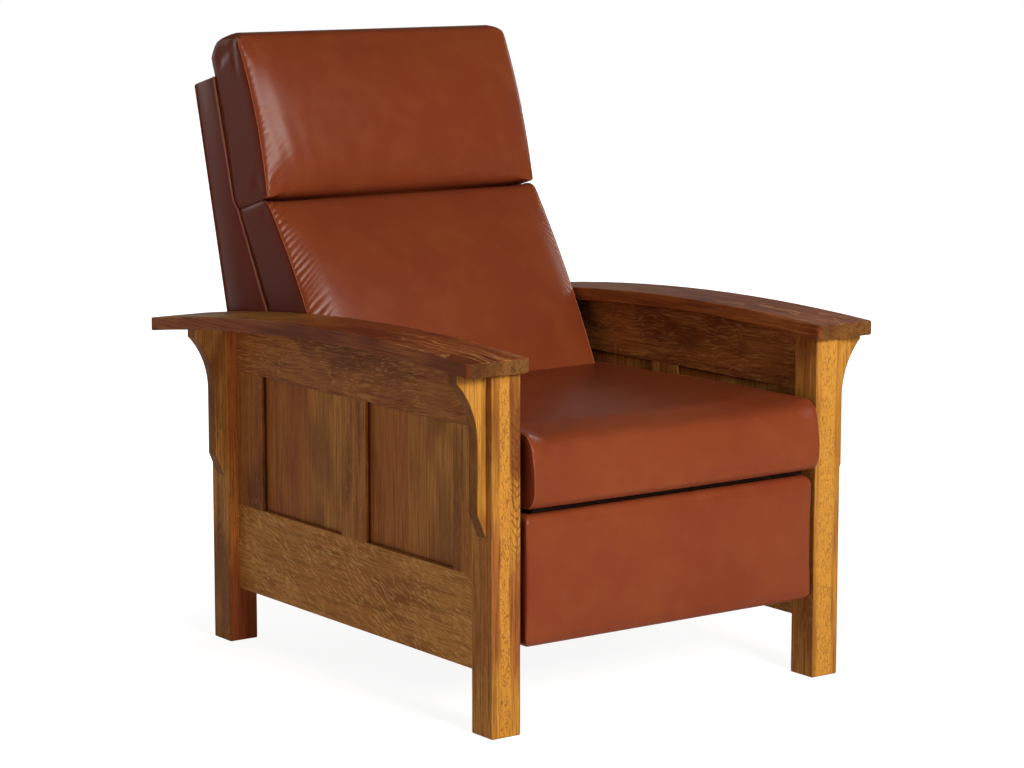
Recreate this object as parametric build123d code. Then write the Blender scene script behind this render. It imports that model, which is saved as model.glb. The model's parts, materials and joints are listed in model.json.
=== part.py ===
from build123d import *
import os
from math import atan2, cos, degrees, hypot, radians, sin

# Mission reclining armchair: two panelled oak sides with bowed arms, a leather seat that glides
# forwards, a hinged back in two cushions and a footrest that swings out from under the seat.
# The chair faces -Y, X runs across it and Z is up. Lengths are in millimetres.
# Places are counted from the front faces of the front legs until the last function, which moves
# the whole chair so that its origin is on the floor under its middle.

# Legs
FRAME_WIDTH = 740.0
FRAME_DEPTH = 876.0
LEG_SIDE = 57.0
LEG_EDGE = 2.0
FOOT_CHAMFER = 1.5

# Side rails, stiles and panels
RAIL_THICKNESS = 20.0
RAIL_SETBACK = 20.0
RAIL_EDGE = 1.2
BOTTOM_RAIL_LIFT = 98.0
BOTTOM_RAIL_HEIGHT = 156.0
TOP_RAIL_DROP = 131.0
PANEL_THICKNESS = 7.0
PANEL_RECESS = 9.0
PANEL_TONGUE = 8.0
FRONT_STILE_WIDTH = 81.0
MULLION_WIDTH = 77.0
REAR_STILE_WIDTH = 86.0
TENON_LENGTH = 25.0
TENON_THICKNESS = 9.0
TENON_SHOULDER = 14.0
TOP_TENON_HEIGHT = 52.0

# Bowed arms
ARM_WIDTH = 122.0
ARM_INNER_OVERHANG = 8.0
ARM_THICKNESS = 24.0
ARM_RADIUS = 5075.0
ARM_PEAK_HEIGHT = 629.0
ARM_PEAK_BACK = 300.0
ARM_FRONT_OVERHANG = 17.0
ARM_REAR_OVERHANG = 121.0
ARM_CORNER = 10.0
ARM_EDGE = 2.5

# Corbels under the arms
CORBEL_THICKNESS = 25.0
CORBEL_NOSE = 56.0
CORBEL_NOSE_HEIGHT = 14.0
CORBEL_SHANK = 16.5
CORBEL_CURVE_DROP = 98.0
CORBEL_SHANK_DROP = 117.0
CORBEL_TIP_DROP = 40.0
CORBEL_EDGE = 1.2

# Cross members between the sides
STRETCHER_BACK = 370.0
STRETCHER_THICKNESS = 22.0
STRETCHER_HEIGHT = 92.0
REAR_RAIL_SETBACK = 9.0
REAR_RAIL_THICKNESS = 20.0
REAR_RAIL_HEIGHT = 102.0

# Slides that carry the seat
CHANNEL_FRONT = 66.0
CHANNEL_LENGTH = 580.0
CHANNEL_HEIGHT = 24.0
CHANNEL_DEPTH = 24.0
CHANNEL_WALL = 2.5
CHANNEL_BELOW_RAIL_TOP = 4.0
SLIDE_FRONT = 136.0
SLIDE_LENGTH = 400.0
SLIDE_CLEARANCE = 0.3
SEAT_BRACKET_THICKNESS = 4.0
SEAT_BRACKET_INSET = 24.0
SEAT_BRACKET_RISE = 50.0
SCREW_RADIUS = 2.5
SCREW_CLEARANCE = 0.05
SCREW_LENGTH = 14.0
SCREW_HEAD_RADIUS = 5.0
SCREW_HEAD_HEIGHT = 2.5
SCREW_PLACE_SHARES = (0.08, 0.5, 0.92)

# Seat frame and deck
SEAT_GAP = 23.0
SEAT_RAIL_LIFT = 44.0
SEAT_RAIL_HEIGHT = 65.0
SEAT_RAIL_THICKNESS = 28.0
SEAT_RAIL_FRONT = 66.0
SEAT_RAIL_LENGTH = 624.0
SEAT_CROSS_THICKNESS = 22.0
SEAT_FRONT_RAIL_HEIGHT = 44.0
SEAT_REAR_RAIL_INSET = 96.0
DECK_THICKNESS = 8.0
DECK_FRONT = 6.0
DECK_REAR_INSET = 102.0
DECK_SIDE_INSET = 3.0

# Seat cushion
CUSHION_FIT = 0.3
SEAT_CUSHION_SIDE_GAP = 10.0
SEAT_CUSHION_HEIGHT = 122.0
SEAT_CUSHION_REAR_FALL = 10.0
SEAT_NOSE = 23.0
SEAT_NOSE_CROWN = 6.0
SEAT_TOP_CROWN = 12.0
SEAT_DRAW_IN = 4.0
SEAT_TOP_ROLL = 36.0
SEAT_LOW_ROLL = 18.0
SEAT_BACK_GAP = 1.5
SEAT_END_CROWN_SHARE = 0.1

# Back hinge, measured from the rear end of the seat rails
HINGE_INSET = 35.0
HINGE_RISE = 42.0
HINGE_EYE = 15.0
PLATE_THICKNESS = 4.0
PLATE_GAP = 2.0
PLATE_FOOT = 46.0
PIN_RADIUS = 4.0
PIN_CLEARANCE = 0.05
PIN_HEAD_RADIUS = 8.0
PIN_HEAD_HEIGHT = 3.0
HEAD_CLEARANCE = 0.3

# Side outline of the back: run behind the hinge and rise above it
LUMBAR_FOOT_RISE = 25.0
LUMBAR_FOOT_RUN = 49.0
LUMBAR_FOOT_DEPTH = 127.0
WAIST_RUN = 241.0
WAIST_RISE = 375.0
WAIST_DEPTH = 101.0
WAIST_SLOPE = 28.0
SHOULDER_RUN = 255.0
SHOULDER_RISE = 388.0
SHELL_TOP_RUN = 320.0
SHELL_TOP_RISE = 611.0
SHELL_TOP_DEPTH = 68.0
SHELL_TOP_SLOPE = 17.0
SHELL_FOOT_RUN = 233.0
SHELL_FOOT_RISE = -5.0
PILLOW_FRONT_RUN = 238.0
PILLOW_FRONT_RISE = 681.0
PILLOW_TOP_RUN = 254.0
PILLOW_TOP_RISE = 695.0
PILLOW_REAR_RUN = 332.0
PILLOW_REAR_RISE = 645.0
BACK_SIDE_GAP = 16.0
SHELL_WALL = 8.0
SHELL_EDGE = 3.0
LUMBAR_BULGE = 8.0
LUMBAR_CROWN = 38.0
LUMBAR_TOP_ROLL = 18.0
PILLOW_BULGE = 8.0
PILLOW_CROWN = 26.0
PILLOW_TOP_BULGE = 12.0
PILLOW_TOP_ROLL = 3.0
BACK_DRAW_IN = 3.0
CREASE = 0.6

# Frame inside the back
BACK_BOARD_THICKNESS = 21.0
BACK_RAIL_THICKNESS = 24.0
BACK_RAIL_HEIGHT = 60.0
BACK_RAIL_END_GAP = 14.0
WEBBING_THICKNESS = 2.0
WEBBING_WIDTH = 50.0
LUMBAR_WEBBING_SHARES = (0.25, 0.5, 0.75)
PILLOW_WEBBING_SHARES = (0.3, 0.72)

# Footrest pad and board
PAD_PROUD = 3.0
PAD_THICKNESS = 48.0
PAD_HEIGHT = 221.0
PAD_TOP_GAP = 2.0
PAD_SIDE_GAP = 8.0
PAD_CROWN = 5.0
PAD_CORNER = 14.0
PAD_ROLL = 12.0
PAD_DRAW_IN = 2.0
PAD_END_CROWN_SHARE = 0.2
BOARD_THICKNESS = 15.0
BOARD_EDGE_INSET = 14.0
BOARD_EAR_WIDTH = 70.0
BOARD_PIVOT_REACH = 20.0
BOARD_PIVOT_DROP = 131.0

# Footrest linkage
FOOT_PIVOT_BACK = 110.0
FOOT_PIVOT_RISE = 2.0
KNEE_RUN = 200.0
KNEE_DROP = 110.0
LINK_WIDTH = 28.0
PIVOT_PLATE_LENGTH = 62.0
PIVOT_PLATE_RISE = 46.0
TUBE_RADIUS = 8.0
TUBE_WALL = 1.5
TUBE_PLACE_SHARE = 0.44

# One overrun for every cut
OVERRUN = 5.0

# Places that follow from the sizes above
LEG_OUTER = FRAME_WIDTH / 2
LEG_INNER = LEG_OUTER - LEG_SIDE
RAIL_OUTER = LEG_OUTER - RAIL_SETBACK
RAIL_INNER = RAIL_OUTER - RAIL_THICKNESS
REAR_LEG_FRONT = FRAME_DEPTH - LEG_SIDE
PANEL_LOW = BOTTOM_RAIL_LIFT + BOTTOM_RAIL_HEIGHT
PANEL_HIGH = ARM_PEAK_HEIGHT - TOP_RAIL_DROP
FRONT_PANEL_FRONT = LEG_SIDE + FRONT_STILE_WIDTH
REAR_STILE_FRONT = REAR_LEG_FRONT - REAR_STILE_WIDTH
PANEL_WIDTH = (REAR_STILE_FRONT - FRONT_PANEL_FRONT - MULLION_WIDTH) / 2
REAR_PANEL_FRONT = FRONT_PANEL_FRONT + PANEL_WIDTH + MULLION_WIDTH
ARM_CENTRE_HEIGHT = ARM_PEAK_HEIGHT - ARM_RADIUS
CHANNEL_HIGH = PANEL_LOW - CHANNEL_BELOW_RAIL_TOP
CHANNEL_LOW = CHANNEL_HIGH - CHANNEL_HEIGHT
SEAT_HALF = LEG_INNER - SEAT_GAP
SEAT_RAIL_INNER = SEAT_HALF - SEAT_RAIL_THICKNESS
SEAT_RAIL_LOW = PANEL_LOW + SEAT_RAIL_LIFT
DECK_LOW = SEAT_RAIL_LOW + SEAT_RAIL_HEIGHT
DECK_HIGH = DECK_LOW + DECK_THICKNESS
SEAT_RAIL_REAR = SEAT_RAIL_FRONT + SEAT_RAIL_LENGTH
HINGE = (SEAT_RAIL_REAR - HINGE_INSET, DECK_LOW + HINGE_RISE)
BACK_HALF = LEG_INNER - BACK_SIDE_GAP
PAD_HIGH = DECK_LOW - PAD_TOP_GAP
PAD_LOW = PAD_HIGH - PAD_HEIGHT
BOARD_FRONT = PAD_THICKNESS - PAD_PROUD + CUSHION_FIT
FOOT_PIVOT = (FOOT_PIVOT_BACK, SEAT_RAIL_LOW + FOOT_PIVOT_RISE)
KNEE = (FOOT_PIVOT[0] + KNEE_RUN, FOOT_PIVOT[1] - KNEE_DROP)
BOARD_PIVOT = (BOARD_FRONT + BOARD_THICKNESS + BOARD_PIVOT_REACH, PAD_HIGH - BOARD_PIVOT_DROP)

# Layers of the steelwork, from the seat rail inwards: plate, link, forelink, ear
LAYER = PLATE_THICKNESS + PLATE_GAP
PLATE_OUT = SEAT_RAIL_INNER
ARM_LINK_OUT = PLATE_OUT - LAYER
FORELINK_OUT = ARM_LINK_OUT - LAYER
EAR_OUT = FORELINK_OUT - LAYER
BACK_PLATE_OUT = PLATE_OUT + LAYER


def block(x_low, x_high, y_low, y_high, z_low, z_high):
    """Box between two corners."""
    size = (x_high - x_low, y_high - y_low, z_high - z_low)
    return Pos(x_low, y_low, z_low) * Box(*size, align=(Align.MIN, Align.MIN, Align.MIN))


def slab(face, x_low, x_high):
    """Board cut to a side outline, between two places across the chair."""
    return Pos(x_low, 0, 0) * extrude(Plane.YZ * face, amount=x_high - x_low)


def outline(points):
    """Face inside straight lines through the points."""
    return make_face(Polyline(*points, close=True))


def left(part):
    """The same piece for the other side of the chair."""
    return mirror(part, about=Plane.YZ)


def pair(part):
    """A piece of the right side with its twin of the left, as separate solids of one node."""
    return Compound([*part.solids(), *left(part).solids()])


def cross_cylinder(x_low, x_high, place, radius):
    """Round bar along X at a place of the side view."""
    middle = (x_low + x_high) / 2
    return Pos(middle, *place) * Rot(0, 90, 0) * Cylinder(radius, x_high - x_low)


def between(start, end, share):
    """Point of the side view part of the way from one point to another."""
    return tuple(a + (b - a) * share for a, b in zip(start, end))


def beside(start, end, share, offset):
    """Point part of the way along a line, set off to the left of its direction."""
    length = hypot(end[0] - start[0], end[1] - start[1])
    normal = ((start[1] - end[1]) / length, (end[0] - start[0]) / length)
    base = between(start, end, share)
    return (base[0] + normal[0] * offset, base[1] + normal[1] * offset)


# Side frames

def arm_curve(radius, y_low, y_high, depth):
    """Side outline under an arc about the arm's centre, down by a depth below its peak."""
    centre = (ARM_PEAK_BACK, ARM_CENTRE_HEIGHT)
    ends = [(y, centre[1] + (radius ** 2 - (y - centre[0]) ** 2) ** 0.5) for y in (y_low, y_high)]
    middle_run = (y_low + y_high) / 2 - centre[0]
    middle = (centre[0] + middle_run, centre[1] + (radius ** 2 - middle_run ** 2) ** 0.5)
    floor = centre[1] + radius - depth
    corners = Polyline(ends[1], (y_high, floor), (y_low, floor), ends[0])
    return make_face([ThreePointArc(ends[0], middle, ends[1]), *corners.edges()])


def under_arm(x_low, x_high):
    """All the space below an arm, which trims what stands under it."""
    radius = ARM_RADIUS - ARM_THICKNESS
    face = arm_curve(radius, -ARM_FRONT_OVERHANG, FRAME_DEPTH + ARM_REAR_OVERHANG, ARM_PEAK_HEIGHT)
    return slab(face, x_low, x_high)


def arm_board():
    """Right arm: a board bowed along its length, with eased edges and corners."""
    y_low = -ARM_FRONT_OVERHANG
    y_high = FRAME_DEPTH + ARM_REAR_OVERHANG
    x_low = LEG_INNER - ARM_INNER_OVERHANG
    x_high = x_low + ARM_WIDTH
    whole = slab(arm_curve(ARM_RADIUS, y_low, y_high, ARM_PEAK_HEIGHT), x_low, x_high)
    inner = arm_curve(ARM_RADIUS - ARM_THICKNESS, y_low - OVERRUN, y_high + OVERRUN, ARM_PEAK_HEIGHT)
    board = whole - slab(inner, x_low - OVERRUN, x_high + OVERRUN)
    board = fillet(board.edges().filter_by(Axis.Z), ARM_CORNER)
    rims = board.faces().sort_by(Axis.Z)[-1].edges() + board.faces().sort_by(Axis.Z)[0].edges()
    return fillet(rims, ARM_EDGE)


def panel(y_low):
    """Flat panel with a tongue all round that sits in the grooves about it."""
    x_high = RAIL_OUTER - PANEL_RECESS
    x_low = x_high - PANEL_THICKNESS
    y_range = (y_low - PANEL_TONGUE, y_low + PANEL_WIDTH + PANEL_TONGUE)
    return block(x_low, x_high, *y_range, PANEL_LOW - PANEL_TONGUE, PANEL_HIGH + PANEL_TONGUE)


def tenons(z_low, z_high):
    """The tongues at both ends of a side rail."""
    middle = (RAIL_INNER + RAIL_OUTER) / 2
    x_range = (middle - TENON_THICKNESS / 2, middle + TENON_THICKNESS / 2)
    front = block(*x_range, LEG_SIDE - TENON_LENGTH, LEG_SIDE, z_low, z_high)
    rear = block(*x_range, REAR_LEG_FRONT, REAR_LEG_FRONT + TENON_LENGTH, z_low, z_high)
    return front + rear


def bottom_rail(panels):
    """Right bottom rail, grooved for its panels."""
    rail = block(RAIL_INNER, RAIL_OUTER, LEG_SIDE, REAR_LEG_FRONT, BOTTOM_RAIL_LIFT, PANEL_LOW)
    rail = fillet(rail.edges().filter_by(Axis.Y), RAIL_EDGE)
    rail += tenons(BOTTOM_RAIL_LIFT + TENON_SHOULDER, PANEL_LOW - TENON_SHOULDER)
    return rail - panels


def top_rail(panels):
    """Right top rail, whose upper edge follows the arm."""
    rail = block(RAIL_INNER, RAIL_OUTER, LEG_SIDE, REAR_LEG_FRONT, PANEL_HIGH, ARM_PEAK_HEIGHT)
    rail = fillet(rail.edges().filter_by(Axis.Y).group_by(Axis.Z)[0], RAIL_EDGE)
    rail &= under_arm(RAIL_INNER - OVERRUN, RAIL_OUTER + OVERRUN)
    low = PANEL_HIGH + TENON_SHOULDER
    rail += tenons(low, low + TOP_TENON_HEIGHT)
    return rail - panels


def stile(y_low, y_high, panels):
    """Upright of the right side between its rails."""
    board = block(RAIL_INNER, RAIL_OUTER, y_low, y_high, PANEL_LOW, PANEL_HIGH)
    board = fillet(board.edges().filter_by(Axis.Z), RAIL_EDGE)
    return board - panels


def leg(y_low, rails):
    """Right leg, mortised for its rails and cut to the arm's underside."""
    post = block(LEG_INNER, LEG_OUTER, y_low, y_low + LEG_SIDE, 0, ARM_PEAK_HEIGHT)
    post = fillet(post.edges().filter_by(Axis.Z), LEG_EDGE)
    post = chamfer(post.faces().sort_by(Axis.Z)[0].edges(), FOOT_CHAMFER)
    post &= under_arm(LEG_INNER - OVERRUN, LEG_OUTER + OVERRUN)
    return post - rails


def corbel(leg_front):
    """Bracket on the outer face of a right leg: a nose, a hollow curve, a shank and a pointed foot."""
    y_low = leg_front + (LEG_SIDE - CORBEL_THICKNESS) / 2
    middle = leg_front + LEG_SIDE / 2
    radius = ARM_RADIUS - ARM_THICKNESS
    top = ARM_CENTRE_HEIGHT + (radius ** 2 - (middle - ARM_PEAK_BACK) ** 2) ** 0.5
    nose_low = top - CORBEL_NOSE_HEIGHT
    curve_low = nose_low - CORBEL_CURVE_DROP
    shank_low = curve_low - CORBEL_SHANK_DROP
    nose = LEG_OUTER + CORBEL_NOSE
    shank = LEG_OUTER + CORBEL_SHANK
    curve = TangentArc((shank, curve_low), (nose, nose_low), tangent=(0, 1))
    roof = top + CORBEL_NOSE_HEIGHT
    rest = Polyline((nose, nose_low), (nose, roof), (LEG_OUTER, roof),
                    (LEG_OUTER, shank_low - CORBEL_TIP_DROP), (shank, shank_low), (shank, curve_low))
    face = Plane.XZ * make_face([curve, *rest.edges()])
    piece = Pos(0, y_low + CORBEL_THICKNESS, 0) * extrude(face, amount=CORBEL_THICKNESS)
    outer = [e for e in piece.edges() if e.center().X > LEG_OUTER + CORBEL_EDGE
             and e.center().Z < nose_low + CORBEL_EDGE and e.bounding_box().size.Y < CORBEL_EDGE]
    piece = fillet(outer, CORBEL_EDGE)
    return piece & under_arm(LEG_OUTER - OVERRUN, nose + OVERRUN)


def side_frame():
    """Every fixed wooden piece of the right side by its name."""
    front_panel = panel(FRONT_PANEL_FRONT)
    rear_panel = panel(REAR_PANEL_FRONT)
    panels = front_panel + rear_panel
    low_rail = bottom_rail(panels) - channel_screws(SCREW_CLEARANCE)
    high_rail = top_rail(panels)
    rails = low_rail + high_rail
    mullion_front = FRONT_PANEL_FRONT + PANEL_WIDTH
    return {
        "front_leg": leg(0, rails),
        "rear_leg": leg(REAR_LEG_FRONT, rails),
        "bottom_rail": low_rail,
        "top_rail": high_rail,
        "front_stile": stile(LEG_SIDE, FRONT_PANEL_FRONT, panels),
        "mullion": stile(mullion_front, REAR_PANEL_FRONT, panels),
        "rear_stile": stile(REAR_STILE_FRONT, REAR_LEG_FRONT, panels),
        "front_panel": front_panel,
        "rear_panel": rear_panel,
        "front_corbel": corbel(0),
        "rear_corbel": corbel(REAR_LEG_FRONT),
        "arm": arm_board(),
    }


def centre_stretcher():
    """Board on edge that ties the two bottom rails together under the seat."""
    y_range = (STRETCHER_BACK, STRETCHER_BACK + STRETCHER_THICKNESS)
    z_range = (BOTTOM_RAIL_LIFT, BOTTOM_RAIL_LIFT + STRETCHER_HEIGHT)
    return block(-RAIL_INNER, RAIL_INNER, *y_range, *z_range)


def rear_cross_rail():
    """Board between the two rear legs."""
    y_high = FRAME_DEPTH - REAR_RAIL_SETBACK
    z_range = (BOTTOM_RAIL_LIFT, BOTTOM_RAIL_LIFT + REAR_RAIL_HEIGHT)
    return block(-LEG_INNER, LEG_INNER, y_high - REAR_RAIL_THICKNESS, y_high, *z_range)


# Slides

def slide_channel():
    """Right channel, open towards the middle of the chair, drilled for its screws."""
    y_range = (CHANNEL_FRONT, CHANNEL_FRONT + CHANNEL_LENGTH)
    body = block(RAIL_INNER - CHANNEL_DEPTH, RAIL_INNER, *y_range, CHANNEL_LOW, CHANNEL_HIGH)
    hollow = block(RAIL_INNER - CHANNEL_DEPTH - OVERRUN, RAIL_INNER - CHANNEL_WALL,
                   y_range[0] - OVERRUN, y_range[1] + OVERRUN,
                   CHANNEL_LOW + CHANNEL_WALL, CHANNEL_HIGH - CHANNEL_WALL)
    return body - hollow - channel_screws(SCREW_CLEARANCE)


def channel_screws(clearance):
    """Screws that hold the right channel to its rail, or their holes where there is a clearance."""
    height = (CHANNEL_LOW + CHANNEL_HIGH) / 2
    face = RAIL_INNER - CHANNEL_WALL
    screws = []
    for share in SCREW_PLACE_SHARES:
        place = (CHANNEL_FRONT + CHANNEL_LENGTH * share, height)
        head = cross_cylinder(face - SCREW_HEAD_HEIGHT, face, place, SCREW_HEAD_RADIUS)
        shank = cross_cylinder(face, face + SCREW_LENGTH + clearance, place, SCREW_RADIUS + clearance)
        screws.append((head + shank).solid())
    return Compound(screws)


def slide_bar():
    """Right bar that runs in the channel and carries the seat."""
    x_high = RAIL_INNER - CHANNEL_WALL - SCREW_HEAD_HEIGHT - SLIDE_CLEARANCE
    inset = CHANNEL_WALL + SLIDE_CLEARANCE
    return block(SEAT_HALF + SEAT_BRACKET_THICKNESS, x_high, SLIDE_FRONT, SLIDE_FRONT + SLIDE_LENGTH,
                 CHANNEL_LOW + inset, CHANNEL_HIGH - inset)


def seat_bracket():
    """Right steel plate that joins the slide bar to the seat rail."""
    y_range = (SLIDE_FRONT + SEAT_BRACKET_INSET, SLIDE_FRONT + SLIDE_LENGTH - SEAT_BRACKET_INSET)
    z_low = CHANNEL_LOW + CHANNEL_WALL + SLIDE_CLEARANCE
    return block(SEAT_HALF, SEAT_HALF + SEAT_BRACKET_THICKNESS, *y_range, z_low,
                 SEAT_RAIL_LOW + SEAT_BRACKET_RISE)


# Seat

def seat_side_rail():
    """Right rail of the seat frame."""
    return block(SEAT_RAIL_INNER, SEAT_HALF, SEAT_RAIL_FRONT, SEAT_RAIL_REAR, SEAT_RAIL_LOW, DECK_LOW)


def seat_cross_rail(y_low, height):
    """Rail across the seat frame, up to the deck."""
    return block(-SEAT_RAIL_INNER, SEAT_RAIL_INNER, y_low, y_low + SEAT_CROSS_THICKNESS,
                 DECK_LOW - height, DECK_LOW)


def seat_deck():
    """Plywood deck under the seat cushion."""
    half = SEAT_HALF - DECK_SIDE_INSET
    return block(-half, half, DECK_FRONT, SEAT_RAIL_REAR - DECK_REAR_INSET, DECK_LOW, DECK_HIGH)


CROWN_PLACE_SHARES = (-1.0, -0.86, -0.5, 0.0, 0.5, 0.86, 1.0)
CROWN_HEIGHT_SHARES = (0.0, 0.5, 0.86, 1.0, 0.86, 0.5, 0.0)


def crowned(section, half, overrun):
    """Cushion lofted across the chair through side sections, fuller towards its middle."""
    places = [share * (half + overrun) for share in CROWN_PLACE_SHARES]
    crowns = zip(places, CROWN_HEIGHT_SHARES)
    return loft([Pos(x, 0, 0) * (Plane.YZ * section(crown)).face() for x, crown in crowns])


def drawn_outline(half, low, high, draw_in):
    """Outline whose two long sides are drawn in between their corners, from a low edge to a high one."""
    middle = (low + high) / 2
    low_side = Line((-half, low), (half, low))
    right_side = ThreePointArc((half, low), (half - draw_in, middle), (half, high))
    high_side = Line((half, high), (-half, high))
    left_side = ThreePointArc((-half, high), (draw_in - half, middle), (-half, low))
    return make_face([low_side, right_side, high_side, left_side])


def seat_section(crown):
    """Side outline of the seat cushion: a rounded nose, a crowned top and a leaning rear."""
    low = DECK_HIGH + CUSHION_FIT
    high = low + SEAT_CUSHION_HEIGHT
    nose = -SEAT_NOSE - SEAT_NOSE_CROWN * crown
    foot = lumbar_foot_front()
    rear_low = (foot[0] - SEAT_BACK_GAP, low)
    rear_mid = (foot[0] - SEAT_BACK_GAP, foot[1])
    rear_top = seat_rear_top(crown)
    roll_low = (nose + SEAT_LOW_ROLL, low)
    face_low = (nose, low + SEAT_LOW_ROLL * 2)
    face_high = (nose + SEAT_LOW_ROLL / 3, high - SEAT_TOP_ROLL)
    roll_high = (nose + SEAT_TOP_ROLL, high)
    low_roll = ThreePointArc(roll_low, beside(roll_low, face_low, 0.5, SEAT_LOW_ROLL / 3), face_low)
    front = ThreePointArc(face_low, beside(face_low, face_high, 0.5, SEAT_LOW_ROLL / 9), face_high)
    top_roll = ThreePointArc(face_high, beside(face_high, roll_high, 0.5, SEAT_TOP_ROLL / 4), roll_high)
    rise = SEAT_TOP_CROWN * (crown + SEAT_END_CROWN_SHARE)
    top = ThreePointArc(roll_high, beside(roll_high, rear_top, 0.5, rise), rear_top)
    rest = Polyline(rear_top, rear_mid, rear_low, roll_low)
    return make_face([low_roll, front, top_roll, top, *rest.edges()])


def seat_rear_top(crown):
    """Where the seat cushion's top meets the lumbar cushion."""
    height = DECK_HIGH + CUSHION_FIT + SEAT_CUSHION_HEIGHT - SEAT_CUSHION_REAR_FALL
    foot = lumbar_foot_front()
    head = lumbar_front_high()
    share = (height - foot[1]) / (head[1] - foot[1])
    reach = 4 * share * (1 - share) * (LUMBAR_BULGE + LUMBAR_CROWN * crown)
    return (between(foot, head, share)[0] - reach - SEAT_BACK_GAP, height)


def seat_cushion():
    """Seat cushion, crowned on top and drawn in at its sides."""
    half = LEG_INNER - SEAT_CUSHION_SIDE_GAP
    front = -SEAT_NOSE - SEAT_NOSE_CROWN - OVERRUN
    body = crowned(seat_section, half, OVERRUN)
    plan = drawn_outline(half, front, lumbar_front_high()[0], SEAT_DRAW_IN)
    return body & extrude(plan, amount=DECK_HIGH + SEAT_CUSHION_HEIGHT * 2)


# Back

def from_hinge(run, rise):
    """Place in the side view from its run behind the back hinge and its rise above it."""
    return (HINGE[0] + run, HINGE[1] + rise)


def lumbar_foot_rear():
    """Lowest point of the shell's front edge."""
    return from_hinge(LUMBAR_FOOT_RUN, LUMBAR_FOOT_RISE)


def lumbar_foot_front():
    """Front corner of the lumbar cushion's underside."""
    return from_hinge(LUMBAR_FOOT_RUN - LUMBAR_FOOT_DEPTH, LUMBAR_FOOT_RISE)


def lumbar_front_high():
    """Front corner of the lumbar cushion's top."""
    return from_hinge(WAIST_RUN - WAIST_DEPTH, WAIST_RISE + WAIST_SLOPE)


def waist():
    """Where the lumbar cushion's top meets the shell."""
    return from_hinge(WAIST_RUN, WAIST_RISE)


def shoulder():
    """Where the head pillow's underside meets the shell."""
    return from_hinge(SHOULDER_RUN, SHOULDER_RISE)


def shell_top():
    """Front and rear corners of the shell's top."""
    front = from_hinge(SHELL_TOP_RUN, SHELL_TOP_RISE)
    return front, (front[0] + SHELL_TOP_DEPTH, front[1] - SHELL_TOP_SLOPE)


def shell_foot():
    """Lower rear corner of the shell."""
    return from_hinge(SHELL_FOOT_RUN, SHELL_FOOT_RISE)


def shell_outline():
    """Side outline of the back shell."""
    front, rear = shell_top()
    return outline([lumbar_foot_rear(), waist(), shoulder(), front, rear, shell_foot()])


def shell_hollow():
    """Side outline of the space inside the shell, open at the front."""
    inner = offset(shell_outline(), amount=-SHELL_WALL, kind=Kind.INTERSECTION)
    return inner + Pos(-SHELL_WALL * 2, 0, 0) * inner


def frame_set_back():
    """Level distance from the shell's front edge to the frame inside it, behind the webbing."""
    foot = lumbar_foot_rear()
    rise = waist()[1] - foot[1]
    return (WEBBING_THICKNESS + CUSHION_FIT * 2) * hypot(waist()[0] - foot[0], rise) / rise


def back_shell():
    """Leather covered shell: two sides, a rear, a top and a slotted floor, open towards the cushions."""
    body = slab(shell_outline(), -BACK_HALF, BACK_HALF)
    rear_top = Vector(0, *shell_top()[1])
    top_edge = [e for e in body.edges().filter_by(Axis.X) if (e.center() - rear_top).length < SHELL_EDGE]
    body = fillet(top_edge, SHELL_EDGE)
    inner = BACK_HALF - SHELL_WALL
    slot = slab(offset(back_plate_outline(), amount=PLATE_GAP / 2),
                BACK_PLATE_OUT - PLATE_THICKNESS - HEAD_CLEARANCE, BACK_PLATE_OUT + HEAD_CLEARANCE)
    return body - slab(shell_hollow(), -inner, inner) - slot - left(slot)


def back_board():
    """Right plywood end of the frame inside the back."""
    face = shell_hollow() & (Pos(frame_set_back(), 0, 0) * shell_outline())
    x_high = BACK_HALF - SHELL_WALL
    return slab(face, x_high - BACK_BOARD_THICKNESS, x_high)


def back_rail(start_gap, height):
    """Rail across the frame inside the back, flat against the shell's rear wall."""
    foot = shell_foot()
    head = shell_top()[1]
    length = hypot(head[0] - foot[0], head[1] - foot[1])
    low = start_gap / length
    high = (start_gap + height) / length
    near = SHELL_WALL
    far = SHELL_WALL + BACK_RAIL_THICKNESS
    corners = [beside(foot, head, low, near), beside(foot, head, high, near),
               beside(foot, head, high, far), beside(foot, head, low, far)]
    half = BACK_HALF - SHELL_WALL - BACK_BOARD_THICKNESS
    return slab(outline(corners), -half, half)


def back_rail_top_gap():
    """Distance of the top rail's lower edge from the foot of the shell's rear."""
    foot = shell_foot()
    head = shell_top()[1]
    length = hypot(head[0] - foot[0], head[1] - foot[1])
    return length - SHELL_WALL - BACK_RAIL_END_GAP - BACK_RAIL_HEIGHT


def strap(start, end, share):
    """Webbing strap across the back at a share of a side line."""
    length = hypot(end[0] - start[0], end[1] - start[1])
    low = share - WEBBING_WIDTH / length / 2
    high = share + WEBBING_WIDTH / length / 2
    near = -CUSHION_FIT
    far = -CUSHION_FIT - WEBBING_THICKNESS
    corners = [beside(start, end, low, near), beside(start, end, high, near),
               beside(start, end, high, far), beside(start, end, low, far)]
    half = BACK_HALF - SHELL_WALL
    return slab(outline(corners), -half, half).solid()


def back_webbing():
    """Straps that carry the two back cushions."""
    lumbar = [strap(lumbar_foot_rear(), waist(), share) for share in LUMBAR_WEBBING_SHARES]
    pillow = [strap(shoulder(), shell_top()[0], share) for share in PILLOW_WEBBING_SHARES]
    return Compound(lumbar + pillow)


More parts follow.
